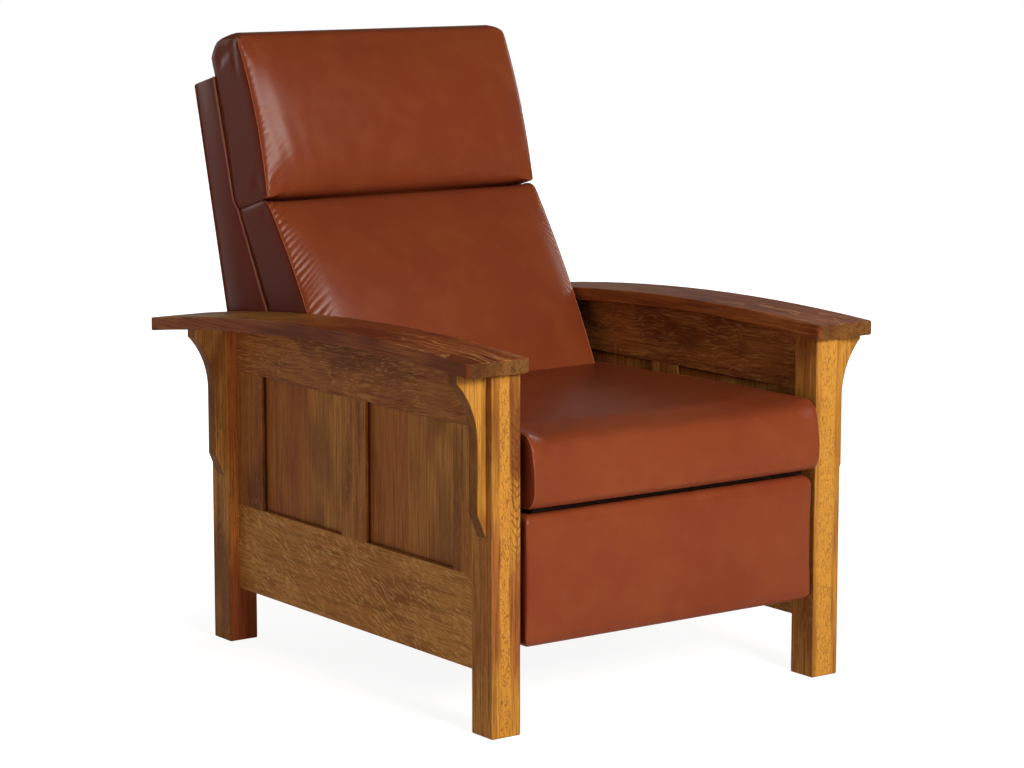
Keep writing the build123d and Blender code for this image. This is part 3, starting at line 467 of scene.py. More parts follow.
@dataclass(frozen=True)
class Oak:
    """Quartersawn oak with fibres, pores and rays under a satin varnish."""

    name: str
    grain: Grain
    stain: Stain
    seed: float
    figure: Figure
    front: Stain | None = None
    band: Band | None = None
    reveal: float | None = None
    sunk: tuple[Vector, Vector] | None = None
    join: Join | None = None
    rough: float = 0.34
    rough_range: float = 0.16
    seed_path: Triple = (1.0, 1.7, 0.6)
    join_shift: Triple = (4.2, 1.3, 2.6)
    ray_stir: float = 14.0
    ray_blend: float = 0.1
    curl_stir: Span = (60.0, 6 * MM)
    band_sway: float = 12 * MM
    band_sway_scale: float = 9.0
    band_sway_stretch: Triple = (0.2, 0.2, 1.0)
    band_edge: float = 0.6
    # Depths and share of the painted sheen on the rear of a figured top.
    sheen_depth: Span = (-0.12, 0.3)
    sheen_share: float = 0.85
    fibre_share: float = 0.25
    fibre_depth: float = -0.3
    pore_depth: float = 0.12 * MM
    pore_bump: float = 0.5
    shine: float = 0.08

    def board(self, graph: Graph, stain: Stain, place: Value, fibre: Value) -> Socket:
        """Colour the wood before its pores and rays.

        Args:
            graph: The material's nodes.
            stain: Colours of the board.
            place: Place of a point, moved by the seed.
            fibre: Strength of the fibres.

        Returns:
            The colour.
        """
        colour = stain.body
        for layer, tint in ((OAK_CLOUD, stain.light), (OAK_BLOTCH, stain.dark), (OAK_STREAK, stain.dark)):
            colour = layer.over(graph, colour, tint, layer.noise(graph, place, self.grain))
        return graph.mix(graph.product(fibre, OAK_FIBRE.share), colour, stain.dark)

    def rays(self, graph: Graph, place: Value) -> Socket:
        """Draw the light rays that cross the fibres at a slant.

        Args:
            graph: The material's nodes.
            place: Place of a point, moved by the seed.

        Returns:
            Their strength.
        """
        figure = self.figure
        turned = graph.turned(graph.stirred(place, self.ray_stir, figure.stir), figure.tilt)
        rays = Mottle(figure.across, figure.low, figure.high, figure.share, figure.stretch, 0.5, 0.5, 0.15)
        stroke = rays.noise(graph, turned, self.grain)
        if figure.top_until is not None:
            stroke = graph.apart(stroke, 0.5)
        share = graph.product(rays.strength(graph, stroke), rays.share)
        if figure.top_until is not None:
            depth = graph.parts(graph.place())[Grain.DEEP.value]
            ahead = graph.step(depth, figure.top_until + self.ray_blend, figure.top_until - self.ray_blend)
            share = graph.product(share, ahead, graph.upward())
        patch = graph.product(RAY_PATCH.strength(graph, RAY_PATCH.noise(graph, place)), RAY_PATCH.share)
        return graph.product(share, graph.math("ADD", patch, 1.0 - RAY_PATCH.share))

    def golden(self, graph: Graph, place: Value, fibre: Value) -> Socket:
        """Colour a front face, with a bright band of curly dark marks along it.

        Args:
            graph: The material's nodes.
            place: Place of a point, moved by the seed.
            fibre: Strength of the fibres.

        Returns:
            The colour.
        """
        front, band = self.front, self.band
        colour = self.board(graph, front, place, fibre)
        if band is None:
            return colour
        curl = OAK_CURL.noise(graph, graph.stirred(place, *self.curl_stir), self.grain)
        bright = graph.mix(graph.product(fibre, self.fibre_share), front.light, front.body)
        bright = OAK_CURL.over(graph, bright, front.dark, curl)
        sway = graph.noise(graph.scaled(place, self.band_sway_stretch), self.band_sway_scale, 1.0)
        run = graph.math("ADD", graph.parts(graph.place())[0], graph.product(sway, self.band_sway))
        if band.arches is not None:
            marks = band.arches.marks(graph, band.centre + band.half * band.arches.beside)
            colour = graph.mix(marks, colour, front.dark)
        inside = graph.step(graph.apart(run, band.centre), band.half, band.half * self.band_edge)
        return graph.mix(inside, colour, bright)

    def ahead(self, graph: Graph) -> Socket:
        """Find the faces that look to the front.

        Args:
            graph: The material's nodes.

        Returns:
            1 on such a face and 0 elsewhere.
        """
        ahead = graph.step(graph.product(graph.parts(graph.facing())[Grain.DEEP.value], -1.0), *AHEAD)
        if self.reveal is not None:
            # Only the part of the face deeper in than the reveal takes the painted recess shade.
            across = graph.math("ABSOLUTE", graph.parts(graph.place())[0])
            ahead = graph.product(ahead, graph.step(across, self.reveal, self.reveal - 1 * MM))
        return ahead

    def build(self) -> Material:
        """Make the wood.

        Returns:
            The finished material.
        """
        graph = Graph(bpy.data.materials.new(self.name))
        place = graph.scaled(graph.place(), EVEN, tuple(self.seed * part for part in self.seed_path))
        depth = graph.parts(graph.place())[Grain.DEEP.value]
        lines = OAK_FIBRE.noise(graph, place, self.grain)
        fibre = OAK_FIBRE.strength(graph, lines)
        colour = self.board(graph, self.stain, place, fibre)
        if self.join is not None:
            other = self.board(graph, self.join.stain, graph.scaled(place, EVEN, self.join_shift), fibre)
            before = graph.step(depth, self.join.place + self.join.blur, self.join.place - self.join.blur)
            colour = graph.mix(before, colour, other)
        colour = graph.mix(self.rays(graph, place), colour, self.stain.ray)
        # Front faces take their own stain: a painted lit copy on legs and corbels, painted recess shade on
        # stiles and mullion, end grain on the arms.
        if self.front is not None:
            colour = graph.mix(self.ahead(graph), colour, self.golden(graph, place, fibre))
        # Painted sheen: the rear of a figured top turns olive.
        if self.figure.top_until is not None:
            share = graph.product(graph.upward(), graph.step(depth, *self.sheen_depth), self.sheen_share)
            colour = graph.mix(share, colour, self.board(graph, ARM_SHEEN_STAIN, place, fibre))
        # Painted shade along the border of a sunk panel.
        if self.sunk is not None:
            colour = RecessShade().over(graph, colour, self.sunk)
        pores = OAK_PORE.strength(graph, OAK_PORE.noise(graph, place, self.grain))
        colour = graph.mix(graph.product(pores, OAK_PORE.share), colour, self.stain.dark)
        height = graph.math("SUBTRACT", graph.product(fibre, self.fibre_depth), pores)
        normal = graph.bump(height, self.pore_depth, self.pore_bump)
        rough = graph.math("ADD", graph.product(lines, self.rough_range), self.rough)
        return graph.finish(colour, rough, normal, Specular_IOR_Level=self.shine)


@dataclass(frozen=True)
class Leather:
    """Aniline leather: mottled, finely grained and a little glossy, with painted shading on its sideways
    faces.
    """

    name: str
    body: Colour = clay(135, 64, 34)
    deep: Colour = clay(124, 51, 29)
    warm: Colour = clay(144, 77, 39)
    rough: float = 0.24
    # Colour of faces that look sideways: painted shade on the cover and seam beads, painted highlight on
    # the pale welts.
    side: Colour = clay(116, 46, 26)
    rough_range: float = 0.16
    cloud: Mottle = Mottle(5.0, 0.36, 0.64, 0.45, distort=0.2)
    patch: Mottle = Mottle(20.0, 0.4, 0.7, 0.3, detail=4.0)
    speck: Mottle = Mottle(380.0, 0.52, 0.7, 0.22, detail=3.0, rough=0.6)
    fold: Mottle = Mottle(55.0, 0.0, 1.0, coarse=0.5, detail=4.0, rough=0.55, distort=0.5)
    pebbles: float = 640.0
    pebble_stir: Span = (300.0, 1.2 * MM)
    pebble_rim: float = 0.18
    fold_depth: float = 1 * MM
    fold_bump: float = 0.2
    pebble_depth: float = 0.08 * MM
    pebble_bump: float = 0.15
    shine: float = 0.1

    def build(self) -> Material:
        """Make the leather.

        Returns:
            The finished material.
        """
        graph = Graph(bpy.data.materials.new(self.name))
        place = graph.place()
        patch = self.patch.noise(graph, place)
        colour = self.cloud.over(graph, self.body, self.deep, self.cloud.noise(graph, place))
        colour = self.patch.over(graph, colour, self.warm, patch)
        # Painted shading: faces that look sideways take the side colour.
        sideways = graph.math("ABSOLUTE", graph.parts(graph.facing())[0])
        colour = graph.mix(graph.step(sideways, *SIDEWAYS), colour, self.side)
        colour = self.speck.over(graph, colour, self.deep, self.speck.noise(graph, place))
        feeds = {"Vector": graph.stirred(place, *self.pebble_stir), "Scale": self.pebbles}
        pebble = graph.node("TexVoronoi", feeds, feature="DISTANCE_TO_EDGE")
        cells = graph.step(pebble.outputs["Distance"], 0.0, self.pebble_rim)
        normal = graph.bump(self.fold.noise(graph, place, Grain.UPRIGHT), self.fold_depth, self.fold_bump)
        normal = graph.bump(cells, self.pebble_depth, self.pebble_bump, normal)
        rough = graph.math("ADD", graph.product(patch, self.rough_range), self.rough)
        return graph.finish(colour, rough, normal, Specular_IOR_Level=self.shine)


@dataclass(frozen=True)
class Steel:
    """Painted or plated steel with faint wear."""

    name: str
    colour: Colour
    metallic: float
    rough: float
    rough_range: float = 0.2
    scuff: Mottle = Mottle(160.0, 0.55, 0.75, 0.35, detail=4.0, rough=0.7)
    worn: Colour = clay(120, 120, 120)
    scuff_depth: float = 0.05 * MM
    scuff_bump: float = 0.3

    def build(self) -> Material:
        """Make the steel.

        Returns:
            The finished material.
        """
        graph = Graph(bpy.data.materials.new(self.name))
        scuff = self.scuff.noise(graph, graph.place())
        colour = self.scuff.over(graph, self.colour, self.worn, scuff)
        rough = graph.math("ADD", graph.product(scuff, self.rough_range), self.rough)
        normal = graph.bump(scuff, self.scuff_depth, self.scuff_bump)
        return graph.finish(colour, rough, normal, Metallic=self.metallic)


@dataclass(frozen=True)
class Plain:
    """Unfinished wood or woven cloth inside the chair."""

    name: str
    colour: Colour
    dark: Colour
    scale: float
    coarse: float = 1.0
    rough: float = 0.85
    depth: float = 0.2 * MM
    bump: float = 0.4
    shine: float = 0.1

    def build(self) -> Material:
        """Make the wood or cloth.

        Returns:
            The finished material.
        """
        graph = Graph(bpy.data.materials.new(self.name))
        streaks = Mottle(self.scale, 0.4, 0.7, coarse=self.coarse, detail=4.0, rough=0.6)
        streak = streaks.noise(graph, graph.place(), Grain.ACROSS)
        colour = streaks.over(graph, self.colour, self.dark, streak)
        normal = graph.bump(streak, self.depth, self.bump)
        return graph.finish(colour, self.rough, normal, Specular_IOR_Level=self.shine)


def activate(piece: Piece) -> None:
    """Select one object alone and make it the active one.

    Args:
        piece: The object.
    """
    bpy.ops.object.select_all(action="DESELECT")
    piece.select_set(True)
    bpy.context.view_layer.objects.active = piece


def edit(action: str = "SELECT", kind: str = "VERT") -> None:
    """Open the active piece for editing.

    Args:
        action: Whether all of it is selected or none.
        kind: What is selected.
    """
    bpy.ops.object.mode_set(mode="EDIT")
    bpy.ops.mesh.select_mode(type=kind)
    bpy.ops.mesh.select_all(action=action)


def modify(piece: Piece, kind: str, **settings: object) -> None:
    """Finish the active piece with a modifier and apply it.

    Args:
        piece: The piece.
        kind: Blender's name of the modifier.
        settings: Its properties and their values.
    """
    bpy.ops.object.modifier_add(type=kind)
    modifier = piece.modifiers[-1]
    for key, value in settings.items():
        setattr(modifier, key, value)
    bpy.ops.object.modifier_apply(modifier=modifier.name)


def placed(name: str, data: bpy.types.ID) -> Piece:
    """Bring a mesh, lamp or camera into the scene.

    Args:
        name: Name of the object.
        data: What it shows.

    Returns:
        The new object.
    """
    piece = bpy.data.objects.new(name, data)
    bpy.context.scene.collection.objects.link(piece)
    return piece


def copy_of(node: Piece, name: str) -> Piece:
    """Copy a node's mesh into a new object whose points are joined.

    Args:
        node: The node to copy.
        name: Name of the copy.

    Returns:
        The copy.
    """
    piece = placed(name, node.data.copy())
    activate(piece)
    bpy.ops.mesh.customdata_custom_splitnormals_clear()
    edit()
    bpy.ops.mesh.remove_doubles(threshold=0.02 * MM)
    bpy.ops.object.mode_set(mode="OBJECT")
    return piece


def dress(piece: Piece, material: Material) -> None:
    """Give an object one material all over."""
    piece.data.materials.clear()
    piece.data.materials.append(material)


def dress_node(node: Piece, material: Material) -> None:
    """Give a node a better material in the slots that it has."""
    for slot in node.material_slots:
        slot.material = material


def upholster(piece: Piece, body: str, leather: Material, node: str | None = None) -> None:
    """Dress a piece in leather and fix it to its body.

    Args:
        piece: The piece.
        body: The body that it moves with.
        leather: Its leather.
        node: The node that it stands for, if any.
    """
    dress(piece, leather)
    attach(piece, body)
    if node is not None:
        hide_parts(node)


@dataclass(frozen=True)
class Edge:
    """An edge of a piece and the angle between its two faces."""

    start: Vector
    end: Vector
    fold: float


def edges_of(piece: Piece) -> list[Edge]:
    """Read the edges of a piece.

    Args:
        piece: The piece.

    Returns:
        Its edges, in the mesh's order.
    """
    form = bmesh.new()
    form.from_mesh(piece.data)
    edges = []
    for edge in form.edges:
        fold = edge.calc_face_angle(0.0) if len(edge.link_faces) == 2 else math.pi
        edges.append(Edge(edge.verts[0].co.copy(), edge.verts[1].co.copy(), fold))
    form.free()
    return edges


def tree_of(edges: Sequence[Edge], step: float = 2 * MM) -> kdtree.KDTree:
    """Gather evenly spaced points along edges.

    Args:
        edges: The edges.
        step: Distance between the points.

    Returns:
        A tree that finds the nearest point.
    """
    points = []
    for edge in edges:
        count = max(1, round((edge.end - edge.start).length / step))
        points += [edge.start.lerp(edge.end, index / count) for index in range(count + 1)]
    tree = kdtree.KDTree(len(points))
    for index, point in enumerate(points):
        tree.insert(point, index)
    tree.balance()
    return tree


def line_of(points: Sequence[Vector], name: str) -> Piece:
    """Draw a line of loose edges through some points.

    Args:
        points: The points in order.
        name: Name of the line.

    Returns:
        The line.
    """
    mesh = bpy.data.meshes.new(name)
    mesh.from_pydata([tuple(point) for point in points], [(i, i + 1) for i in range(len(points) - 1)], [])
    return placed(name, mesh)


def edge_line(source: Piece, chosen: Callable[[Edge], bool], name: str) -> Piece:
    """Keep only some edges of a piece.

    Args:
        source: The piece, with joined points.
        chosen: Says whether an edge is kept.
        name: Name of the line.

    Returns:
        The kept edges as a piece of their own.
    """
    piece = placed(name, source.data.copy())
    keep = [chosen(edge) for edge in edges_of(piece)]
    activate(piece)
    edit("DESELECT", "EDGE")
    bpy.ops.object.mode_set(mode="OBJECT")
    for edge, kept in zip(piece.data.edges, keep):
        edge.select = not kept
    bpy.ops.object.mode_set(mode="EDIT")
    bpy.ops.mesh.delete(type="EDGE")
    bpy.ops.object.mode_set(mode="OBJECT")
    return piece


@dataclass
class Welt:
    """Narrow bead of folded leather along a seam."""

    name: str
    body: str
    radius: float
    leather: Material
    step: float = 5 * MM
    step_least: float = 0.45
    most_cuts: int = 100
    sink: float = 0.35
    smoothing: int = 2

    def follow(self, line: Piece, surface: Piece) -> Piece:
        """Turn a line into a bead that lies on a piece.

        Args:
            line: The line, as loose edges.
            surface: The finished piece that carries the bead.

        Returns:
            The bead.
        """
        activate(line)
        self.divide(line)
        self.settle(line, surface)
        activate(line)
        bpy.ops.object.convert(target="CURVE")
        piece = bpy.context.view_layer.objects.active
        piece.data.bevel_depth = self.radius
        piece.data.bevel_resolution = 2
        piece.data.use_fill_caps = True
        bpy.ops.object.convert(target="MESH")
        piece = bpy.context.view_layer.objects.active
        piece.name = self.name
        bpy.ops.object.shade_smooth()
        upholster(piece, self.body, self.leather)
        return piece

    def divide(self, line: Piece) -> None:
        """Space the points of a line evenly enough.

        Args:
            line: The active line.
        """
        longest = max((line.data.vertices[a].co - line.data.vertices[b].co).length
                      for a, b in (edge.vertices for edge in line.data.edges))
        edit()
        bpy.ops.mesh.subdivide(number_cuts=min(self.most_cuts, math.ceil(longest / self.step)))
        bpy.ops.mesh.select_all(action="SELECT")
        bpy.ops.mesh.remove_doubles(threshold=self.step * self.step_least)
        bpy.ops.object.mode_set(mode="OBJECT")

    def settle(self, line: Piece, surface: Piece) -> None:
        """Lay a line on a surface and smooth it.

        Args:
            line: The line.
            surface: The piece that it lies on.
        """
        tree = bvhtree.BVHTree.FromObject(surface, bpy.context.evaluated_depsgraph_get())
        for last in (False, True):
            for vert in line.data.vertices:
                place, normal, _, _ = tree.find_nearest(vert.co)
                vert.co = place + normal * self.radius * self.sink
            if self.smoothing and not last:
                activate(line)
                edit()
                bpy.ops.mesh.vertices_smooth(factor=0.5, repeat=self.smoothing)
                bpy.ops.object.mode_set(mode="OBJECT")


def rise(value: float, low: float, high: float) -> float:
    """Return a number that rises smoothly from 0 at the low value to 1 at the high one."""
    share = min(1.0, max(0.0, (value - low) / (high - low)))
    return share * share * (3 - 2 * share)


@dataclass(frozen=True)
class Roll:
    """Long edge across a cushion that its filling rounds."""

    depth: float
    height: float
    reach: float
    repeats: int

    def near(self, place: Vector) -> bool:
        """Say whether a place is within reach of the edge."""
        return math.hypot(place.y - self.depth, place.z - self.height) < self.reach


@dataclass(frozen=True)
class Puckers:
    """Short slanted folds in the leather beside a side seam."""

    depth: float = 0.5 * MM
    wave: float = 17 * MM
    run: float = 40 * MM
    low: float = 0.0
    low_run: float = 100 * MM
    start: float = 7 * MM
    slant: float = 0.8
    lean: float = 0.5
    far_share: float = 0.3
    sway: float = 5.0
    sway_scales: Span = (22.0, 14.0)
    patch_scales: Triple = (16.0, 4.0, 3.0)
    patch_least: float = 0.7

    def at(self, place: Vector, distance: float) -> float:
        """Work out how deep the folds are at a place.

        Args:
            place: Place on the cushion.
            distance: Distance from the seam.

        Returns:
            The depth.
        """
        if distance > self.run * 3:
            return 0.0
        along = place.z + place.y * self.lean - self.slant * distance
        rough = Vector((along * self.sway_scales[0], distance * self.sway_scales[1], place.x))
        wave = 0.5 + 0.5 * math.sin(along * math.tau / self.wave + noise.noise(rough) * self.sway)
        scale, level, across = self.patch_scales
        patch = max(0.0, noise.noise(Vector((along * scale, level, place.x * across))) + self.patch_least)
        patch *= 1.0 if place.x < 0.0 else self.far_share
        fade = math.exp(-(distance / self.run) ** 1.5) * rise(distance, 0.0, self.start)
        return self.depth * wave ** 2 * patch * fade * rise(place.z, self.low, self.low + self.low_run)


@dataclass(frozen=True)
class Hem:
    """Soft creases that rise from the lower edge of a pillow."""

    depth: float = 1.6 * MM
    low: float = 0.81
    wave: float = 36 * MM
    run: float = 75 * MM
    start: float = 20 * MM
    slant: float = 0.15
    sway: float = 3.0
    sway_scales: Triple = (12.0, 8.0, 2.0)
    ends: Span = (0.25, 0.85)
    middle_share: float = 0.3

    def at(self, place: Vector, half: float) -> float:
        """Work out how deep the creases are at a place.

        Args:
            place: Place on the pillow.
            half: Half the pillow's width.

        Returns:
            The depth.
        """
        height = place.z - self.low
        if height > self.run * 3:
            return 0.0
        across, up, level = self.sway_scales
        sway = noise.noise(Vector((place.x * across, height * up, level))) * self.sway
        wave = 0.5 + 0.5 * math.sin((place.x + height * self.slant) * math.tau / self.wave + sway)
        ends = rise(abs(place.x) / half, *self.ends)
        fade = math.exp(-max(0.0, height) / self.run) * rise(height, 0.0, self.start)
        return self.depth * wave * fade * (self.middle_share + (1.0 - self.middle_share) * ends)


CLOTH = {"quality": 5, "mass": 0.3, "tension_stiffness": 20.0, "compression_stiffness": 12.0,
         "shear_stiffness": 8.0, "bending_stiffness": 6.0, "use_pressure": True}


@dataclass
class Cushion:
    """Leather cushion swollen from its solid between its side seams."""

    node: str
    body: str
    half: float
    free: Callable[[Vector], bool]
    hold: Callable[[Vector], float]
    rolls: tuple[Roll, ...] = ()
    puckers: Puckers | None = Puckers()
    hem: Hem | None = None
    voxel: float = 6 * MM
    draw_in: float = 5 * MM
    draw_run: float = 30 * MM
    pressure: float = 4.0
    swell_out: float = 1.5 * MM
    swell_in: float = 5 * MM
    roll_start: float = 5 * MM
    roll_run: float = 45 * MM
    groove: float = 1.2 * MM
    groove_run: float = 4 * MM
    fill: float = 0.85
    held: float = 0.5
    face_limit: float = 0.8
    seam_band: float = 4.5 * MM
    seam_reach: float = 8 * MM
    seam_fold: float = math.radians(40)
    top: float = 2.0
    top_round: float = 0.0
    soft_top: bool = False
    puff: float = 0.0
    puff_run: float = 60 * MM
    puff_low: float = 0.5
    puff_rise: float = 60 * MM
    edge_repeats: int = 0
    edge_reach: float = 16 * MM
    side_reach: float = 1.5 * MM
    side_share: float = 0.5
    seamed: bool = True
    seam_radius: float = 1.1 * MM
    frames: int = 20

    def is_seam(self, edge: Edge) -> bool:
        """Say whether an edge of the solid is a side seam."""
        inner = self.half - self.seam_reach
        return edge.fold > self.seam_fold and abs(edge.start.x) > inner and abs(edge.end.x) > inner \
            and edge.start.x * edge.end.x > 0.0

    def soften(self, piece: Piece, seams: kdtree.KDTree) -> None:
        """Round the long edges, less and less towards the side seams.

        Args:
            piece: The remeshed cushion.
            seams: Points along the side seams.
        """
        for roll in self.rolls:
            before = [vert.co.copy() for vert in piece.data.vertices]
            self.smooth(piece, roll.near, roll.repeats)
            for vert, start in zip(piece.data.vertices, before):
                if roll.near(start):
                    share = rise(seams.find(start)[2], self.roll_start, self.roll_run)
                    vert.co = start.lerp(vert.co, share * (1.0 - self.hold(start)))
        if self.edge_repeats:
            self.smooth(piece, lambda place: seams.find(place)[2] < self.edge_reach
                        and self.hold(place) < self.held, self.edge_repeats)

    def smooth(self, piece: Piece, chosen: Callable[[Vector], bool], repeats: int) -> None:
        """Smooth some points of a piece.

        Args:
            piece: The active piece.
            chosen: Says whether a place is smoothed.
            repeats: How many times.
        """
        edit("DESELECT")
        bpy.ops.object.mode_set(mode="OBJECT")
        for vert in piece.data.vertices:
            vert.select = chosen(vert.co)
        bpy.ops.object.mode_set(mode="EDIT")
        bpy.ops.mesh.vertices_smooth(factor=0.5, repeat=repeats)
        bpy.ops.object.mode_set(mode="OBJECT")

    def round_corners(self, piece: Piece) -> None:
        """Round the upper corners, seen from ahead.

        Args:
            piece: The remeshed cushion.
        """
        radius = self.top_round
        for vert in piece.data.vertices:
            across = abs(vert.co.x) - (self.half - radius)
            over = vert.co.z - self.top + radius
            reach = math.hypot(across, over)
            if across > 0.0 and over > 0.0 and reach > radius:
                vert.co.x -= math.copysign(across * (1.0 - radius / reach), vert.co.x)
                vert.co.z -= over * (1.0 - radius / reach)

    def swell(self, piece: Piece, seams: kdtree.KDTree) -> None:
        """Draw the piece in, inflate it with cloth pressure and limit how far each point moves.

        Args:
            piece: The cushion in its full shape.
            seams: Points along the side seams.
        """
        rest = [vert.co.copy() for vert in piece.data.vertices]
        normals = [vert.normal.copy() for vert in piece.data.vertices]
        holds = [self.hold(place) for place in rest]
        group = piece.vertex_groups.new(name="held")
        for vert, start, normal, hold in zip(piece.data.vertices, rest, normals, holds):
            distance = seams.find(start)[2]
            share = rise(distance, self.seam_band, self.seam_band + self.draw_run)
            vert.co = start - normal * self.draw_in * share * (1.0 - hold)
            if distance < self.seam_band or hold > self.held:
                group.add([vert.index], 1.0, "REPLACE")
        self.inflate(piece)
        for vert, start, normal, hold in zip(piece.data.vertices, rest, normals, holds):
            move = (vert.co - start) * (1.0 - hold)
            out = move.dot(normal)
            side = move - normal * out
            reach = self.reach(normal, out)
            out = reach * math.tanh(out / reach) if reach > 0.0 else 0.0
            out += self.puffed(start, normal, seams.find(start)[2]) * (1.0 - hold)
            vert.co = start + normal * out + side * self.side_share
        piece.vertex_groups.clear()

    def reach(self, normal: Vector, out: float) -> float:
        """Limit how far a point moves.

        Args:
            normal: The way that the leather faces there.
            out: How far the pressure moved it outwards.

        Returns:
            The limit.
        """
        if out >= 0.0:
            return self.swell_out if self.free(normal) else 0.0
        facing = max(0.0, -normal.y, normal.z if self.soft_top else 0.0)
        return self.side_reach + (self.swell_in - self.side_reach) * facing

    def puffed(self, place: Vector, normal: Vector, distance: float) -> float:
        """Work out how far the filling stands out on the front.

        Args:
            place: Place on the cushion.
            normal: The way that the leather faces there.
            distance: Distance from the side seam.

        Returns:
            The distance.
        """
        slack = max(0.0, 1.0 - distance / self.puff_run)
        low = rise(place.z, self.puff_low, self.puff_low + self.puff_rise)
        return self.puff * (1.0 - slack * slack) * max(0.0, -normal.y) * low

    def inflate(self, piece: Piece) -> None:
        """Blow the cover up against its own tension, with its held points pinned.

        Args:
            piece: The cushion, drawn in.
        """
        activate(piece)
        bpy.ops.object.modifier_add(type="CLOTH")
        cloth = piece.modifiers[-1]
        for key, value in CLOTH.items():
            setattr(cloth.settings, key, value)
        cloth.settings.uniform_pressure_force = self.pressure
        cloth.settings.effector_weights.gravity = 0.0
        cloth.settings.vertex_group_mass = "held"
        cloth.collision_settings.use_collision = False
        scene = bpy.context.scene
        for frame in range(1, self.frames + 1):
            scene.frame_set(frame)
        bpy.ops.object.modifier_apply(modifier=cloth.name)
        scene.frame_set(1)

    def crumple(self, piece: Piece, seams: kdtree.KDTree) -> None:
        """Press a groove along the side seams, and draw puckers and creases in from them.

        Args:
            piece: The finished cushion.
            seams: Points along the side seams.
        """
        normals = [vert.normal.copy() for vert in piece.data.vertices]
        for vert, normal in zip(piece.data.vertices, normals):
            place = vert.co
            distance = seams.find(place)[2]
            depth = self.groove * math.exp(-(distance / self.groove_run) ** 2)
            if self.free(normal) and abs(normal.x) < self.face_limit:
                depth += self.puckers.at(place, distance) if self.puckers else 0.0
                depth += self.hem.at(place, self.half) if self.hem else 0.0
            vert.co = place - normal * depth * (1.0 - self.hold(place))

    def build(self, nodes: Nodes, leather: Material,
              bead: Material) -> list[Piece]:
        """Model the cushion and its seams in place of its solid.

        Args:
            nodes: The frame's nodes by name.
            leather: Its leather.
            bead: Leather of its seams.

        Returns:
            The cushion and its seams.
        """
        source = copy_of(nodes[self.node], self.node + "_pattern")
        seams = tree_of([edge for edge in edges_of(source) if self.is_seam(edge)])
        piece = placed(self.node + "_cover", source.data.copy())
        activate(piece)
        piece.data.remesh_voxel_size = self.voxel
        bpy.ops.object.voxel_remesh()
        self.soften(piece, seams)
        self.round_corners(piece)
        self.swell(piece, seams)
        modify(piece, "SUBSURF", levels=1, render_levels=1)
        self.crumple(piece, seams)
        activate(piece)
        bpy.ops.object.shade_smooth()
        upholster(piece, self.body, leather, self.node)
        pieces = [piece]
        if self.seamed:
            welt = Welt(self.node + "_seams", self.body, self.seam_radius, bead)
            pieces.append(welt.follow(edge_line(source, self.is_seam, welt.name), piece))
        bpy.data.objects.remove(source)
        return pieces


@dataclass
class Shell:
    """Leather covered shell of the back, with a welt along its edges."""

    node: str = "back_shell"
    body: str = "back"
    half: float = 297 * MM
    front: tuple[Span, ...] = ((0.197, 0.430), (0.389, 0.780), (0.403, 0.793), (0.468, 1.016))
    rear: tuple[Span, ...] = ((0.5353, 0.997), (0.381, 0.400))
    round: float = 1.8 * MM
    round_from: float = math.radians(50)
    smooth_to: float = math.radians(40)
    front_radius: float = 2.0 * MM
    rear_radius: float = 1.0 * MM

    def build(self, nodes: Nodes, leather: Material,
              bead: Material) -> list[Piece]:
        """Cover the shell in place of its solid and run its welts.

        Args:
            nodes: The frame's nodes by name.
            leather: Its leather.
            bead: Leather of its front welts.

        Returns:
            The cover and its welts.
        """
        piece = copy_of(nodes[self.node], self.node + "_cover")
        modify(piece, "BEVEL", width=self.round, segments=2, limit_method="ANGLE",
               angle_limit=self.round_from)
        bpy.ops.object.shade_smooth_by_angle(angle=self.smooth_to)
        upholster(piece, self.body, leather, self.node)
        pieces = [piece]
        edges = (("front", self.front, self.front_radius, bead),
                 ("rear", self.rear, self.rear_radius, leather))
        for name, path, radius, cover in edges:
            for side, sign in zip(SIDES, (-1, 1)):
                points = [Vector((sign * self.half, *point)) for point in path]
                welt = Welt(f"{self.node}_welt_{name}_{side}", self.body, radius, cover, smoothing=0)
                pieces.append(welt.follow(line_of(points, welt.name), piece))
        return pieces


@dataclass(frozen=True)
class Lamp:
    """Soft box that faces the chair. One with a gloss height is that tall and shows only as a highlight."""

    name: str
    place: Triple
    size: float
    power: float
    colour: Colour = (1.0, 0.97, 0.94)
    gloss_height: float | None = None

    def hang(self, aim: Vector) -> None:
        """Hang the lamp.

        Args:
            aim: The place that it faces.
        """
        data = bpy.data.lights.new(self.name, "AREA")
        data.shape = "SQUARE"
        data.size = self.size
        data.energy = self.power
        data.color = self.colour
        lamp = placed(self.name, data)
        lamp.location = self.place
        lamp.rotation_euler = (aim - Vector(self.place)).to_track_quat("-Z", "Y").to_euler()
        if self.gloss_height is not None:
            data.shape = "RECTANGLE"
            data.size_y = self.gloss_height
            lamp.visible_diffuse = False


LAMPS = (
    Lamp("key_light", (-0.25, -4.6, 2.35), 1.1, 185.0, (1.0, 0.95, 0.88)),
    Lamp("gloss_light", (-0.3, -3.9, 3.7), 1.0, 330.0, (1.0, 0.96, 0.94), 2.6),
    Lamp("side_light", (-4.4, -0.8, 1.6), 2.0, 14.0),
    Lamp("far_light", (4.2, 1.6, 1.6), 2.0, 36.0),
    Lamp("rear_light", (-1.2, 4.4, 1.8), 2.0, 24.0),
)


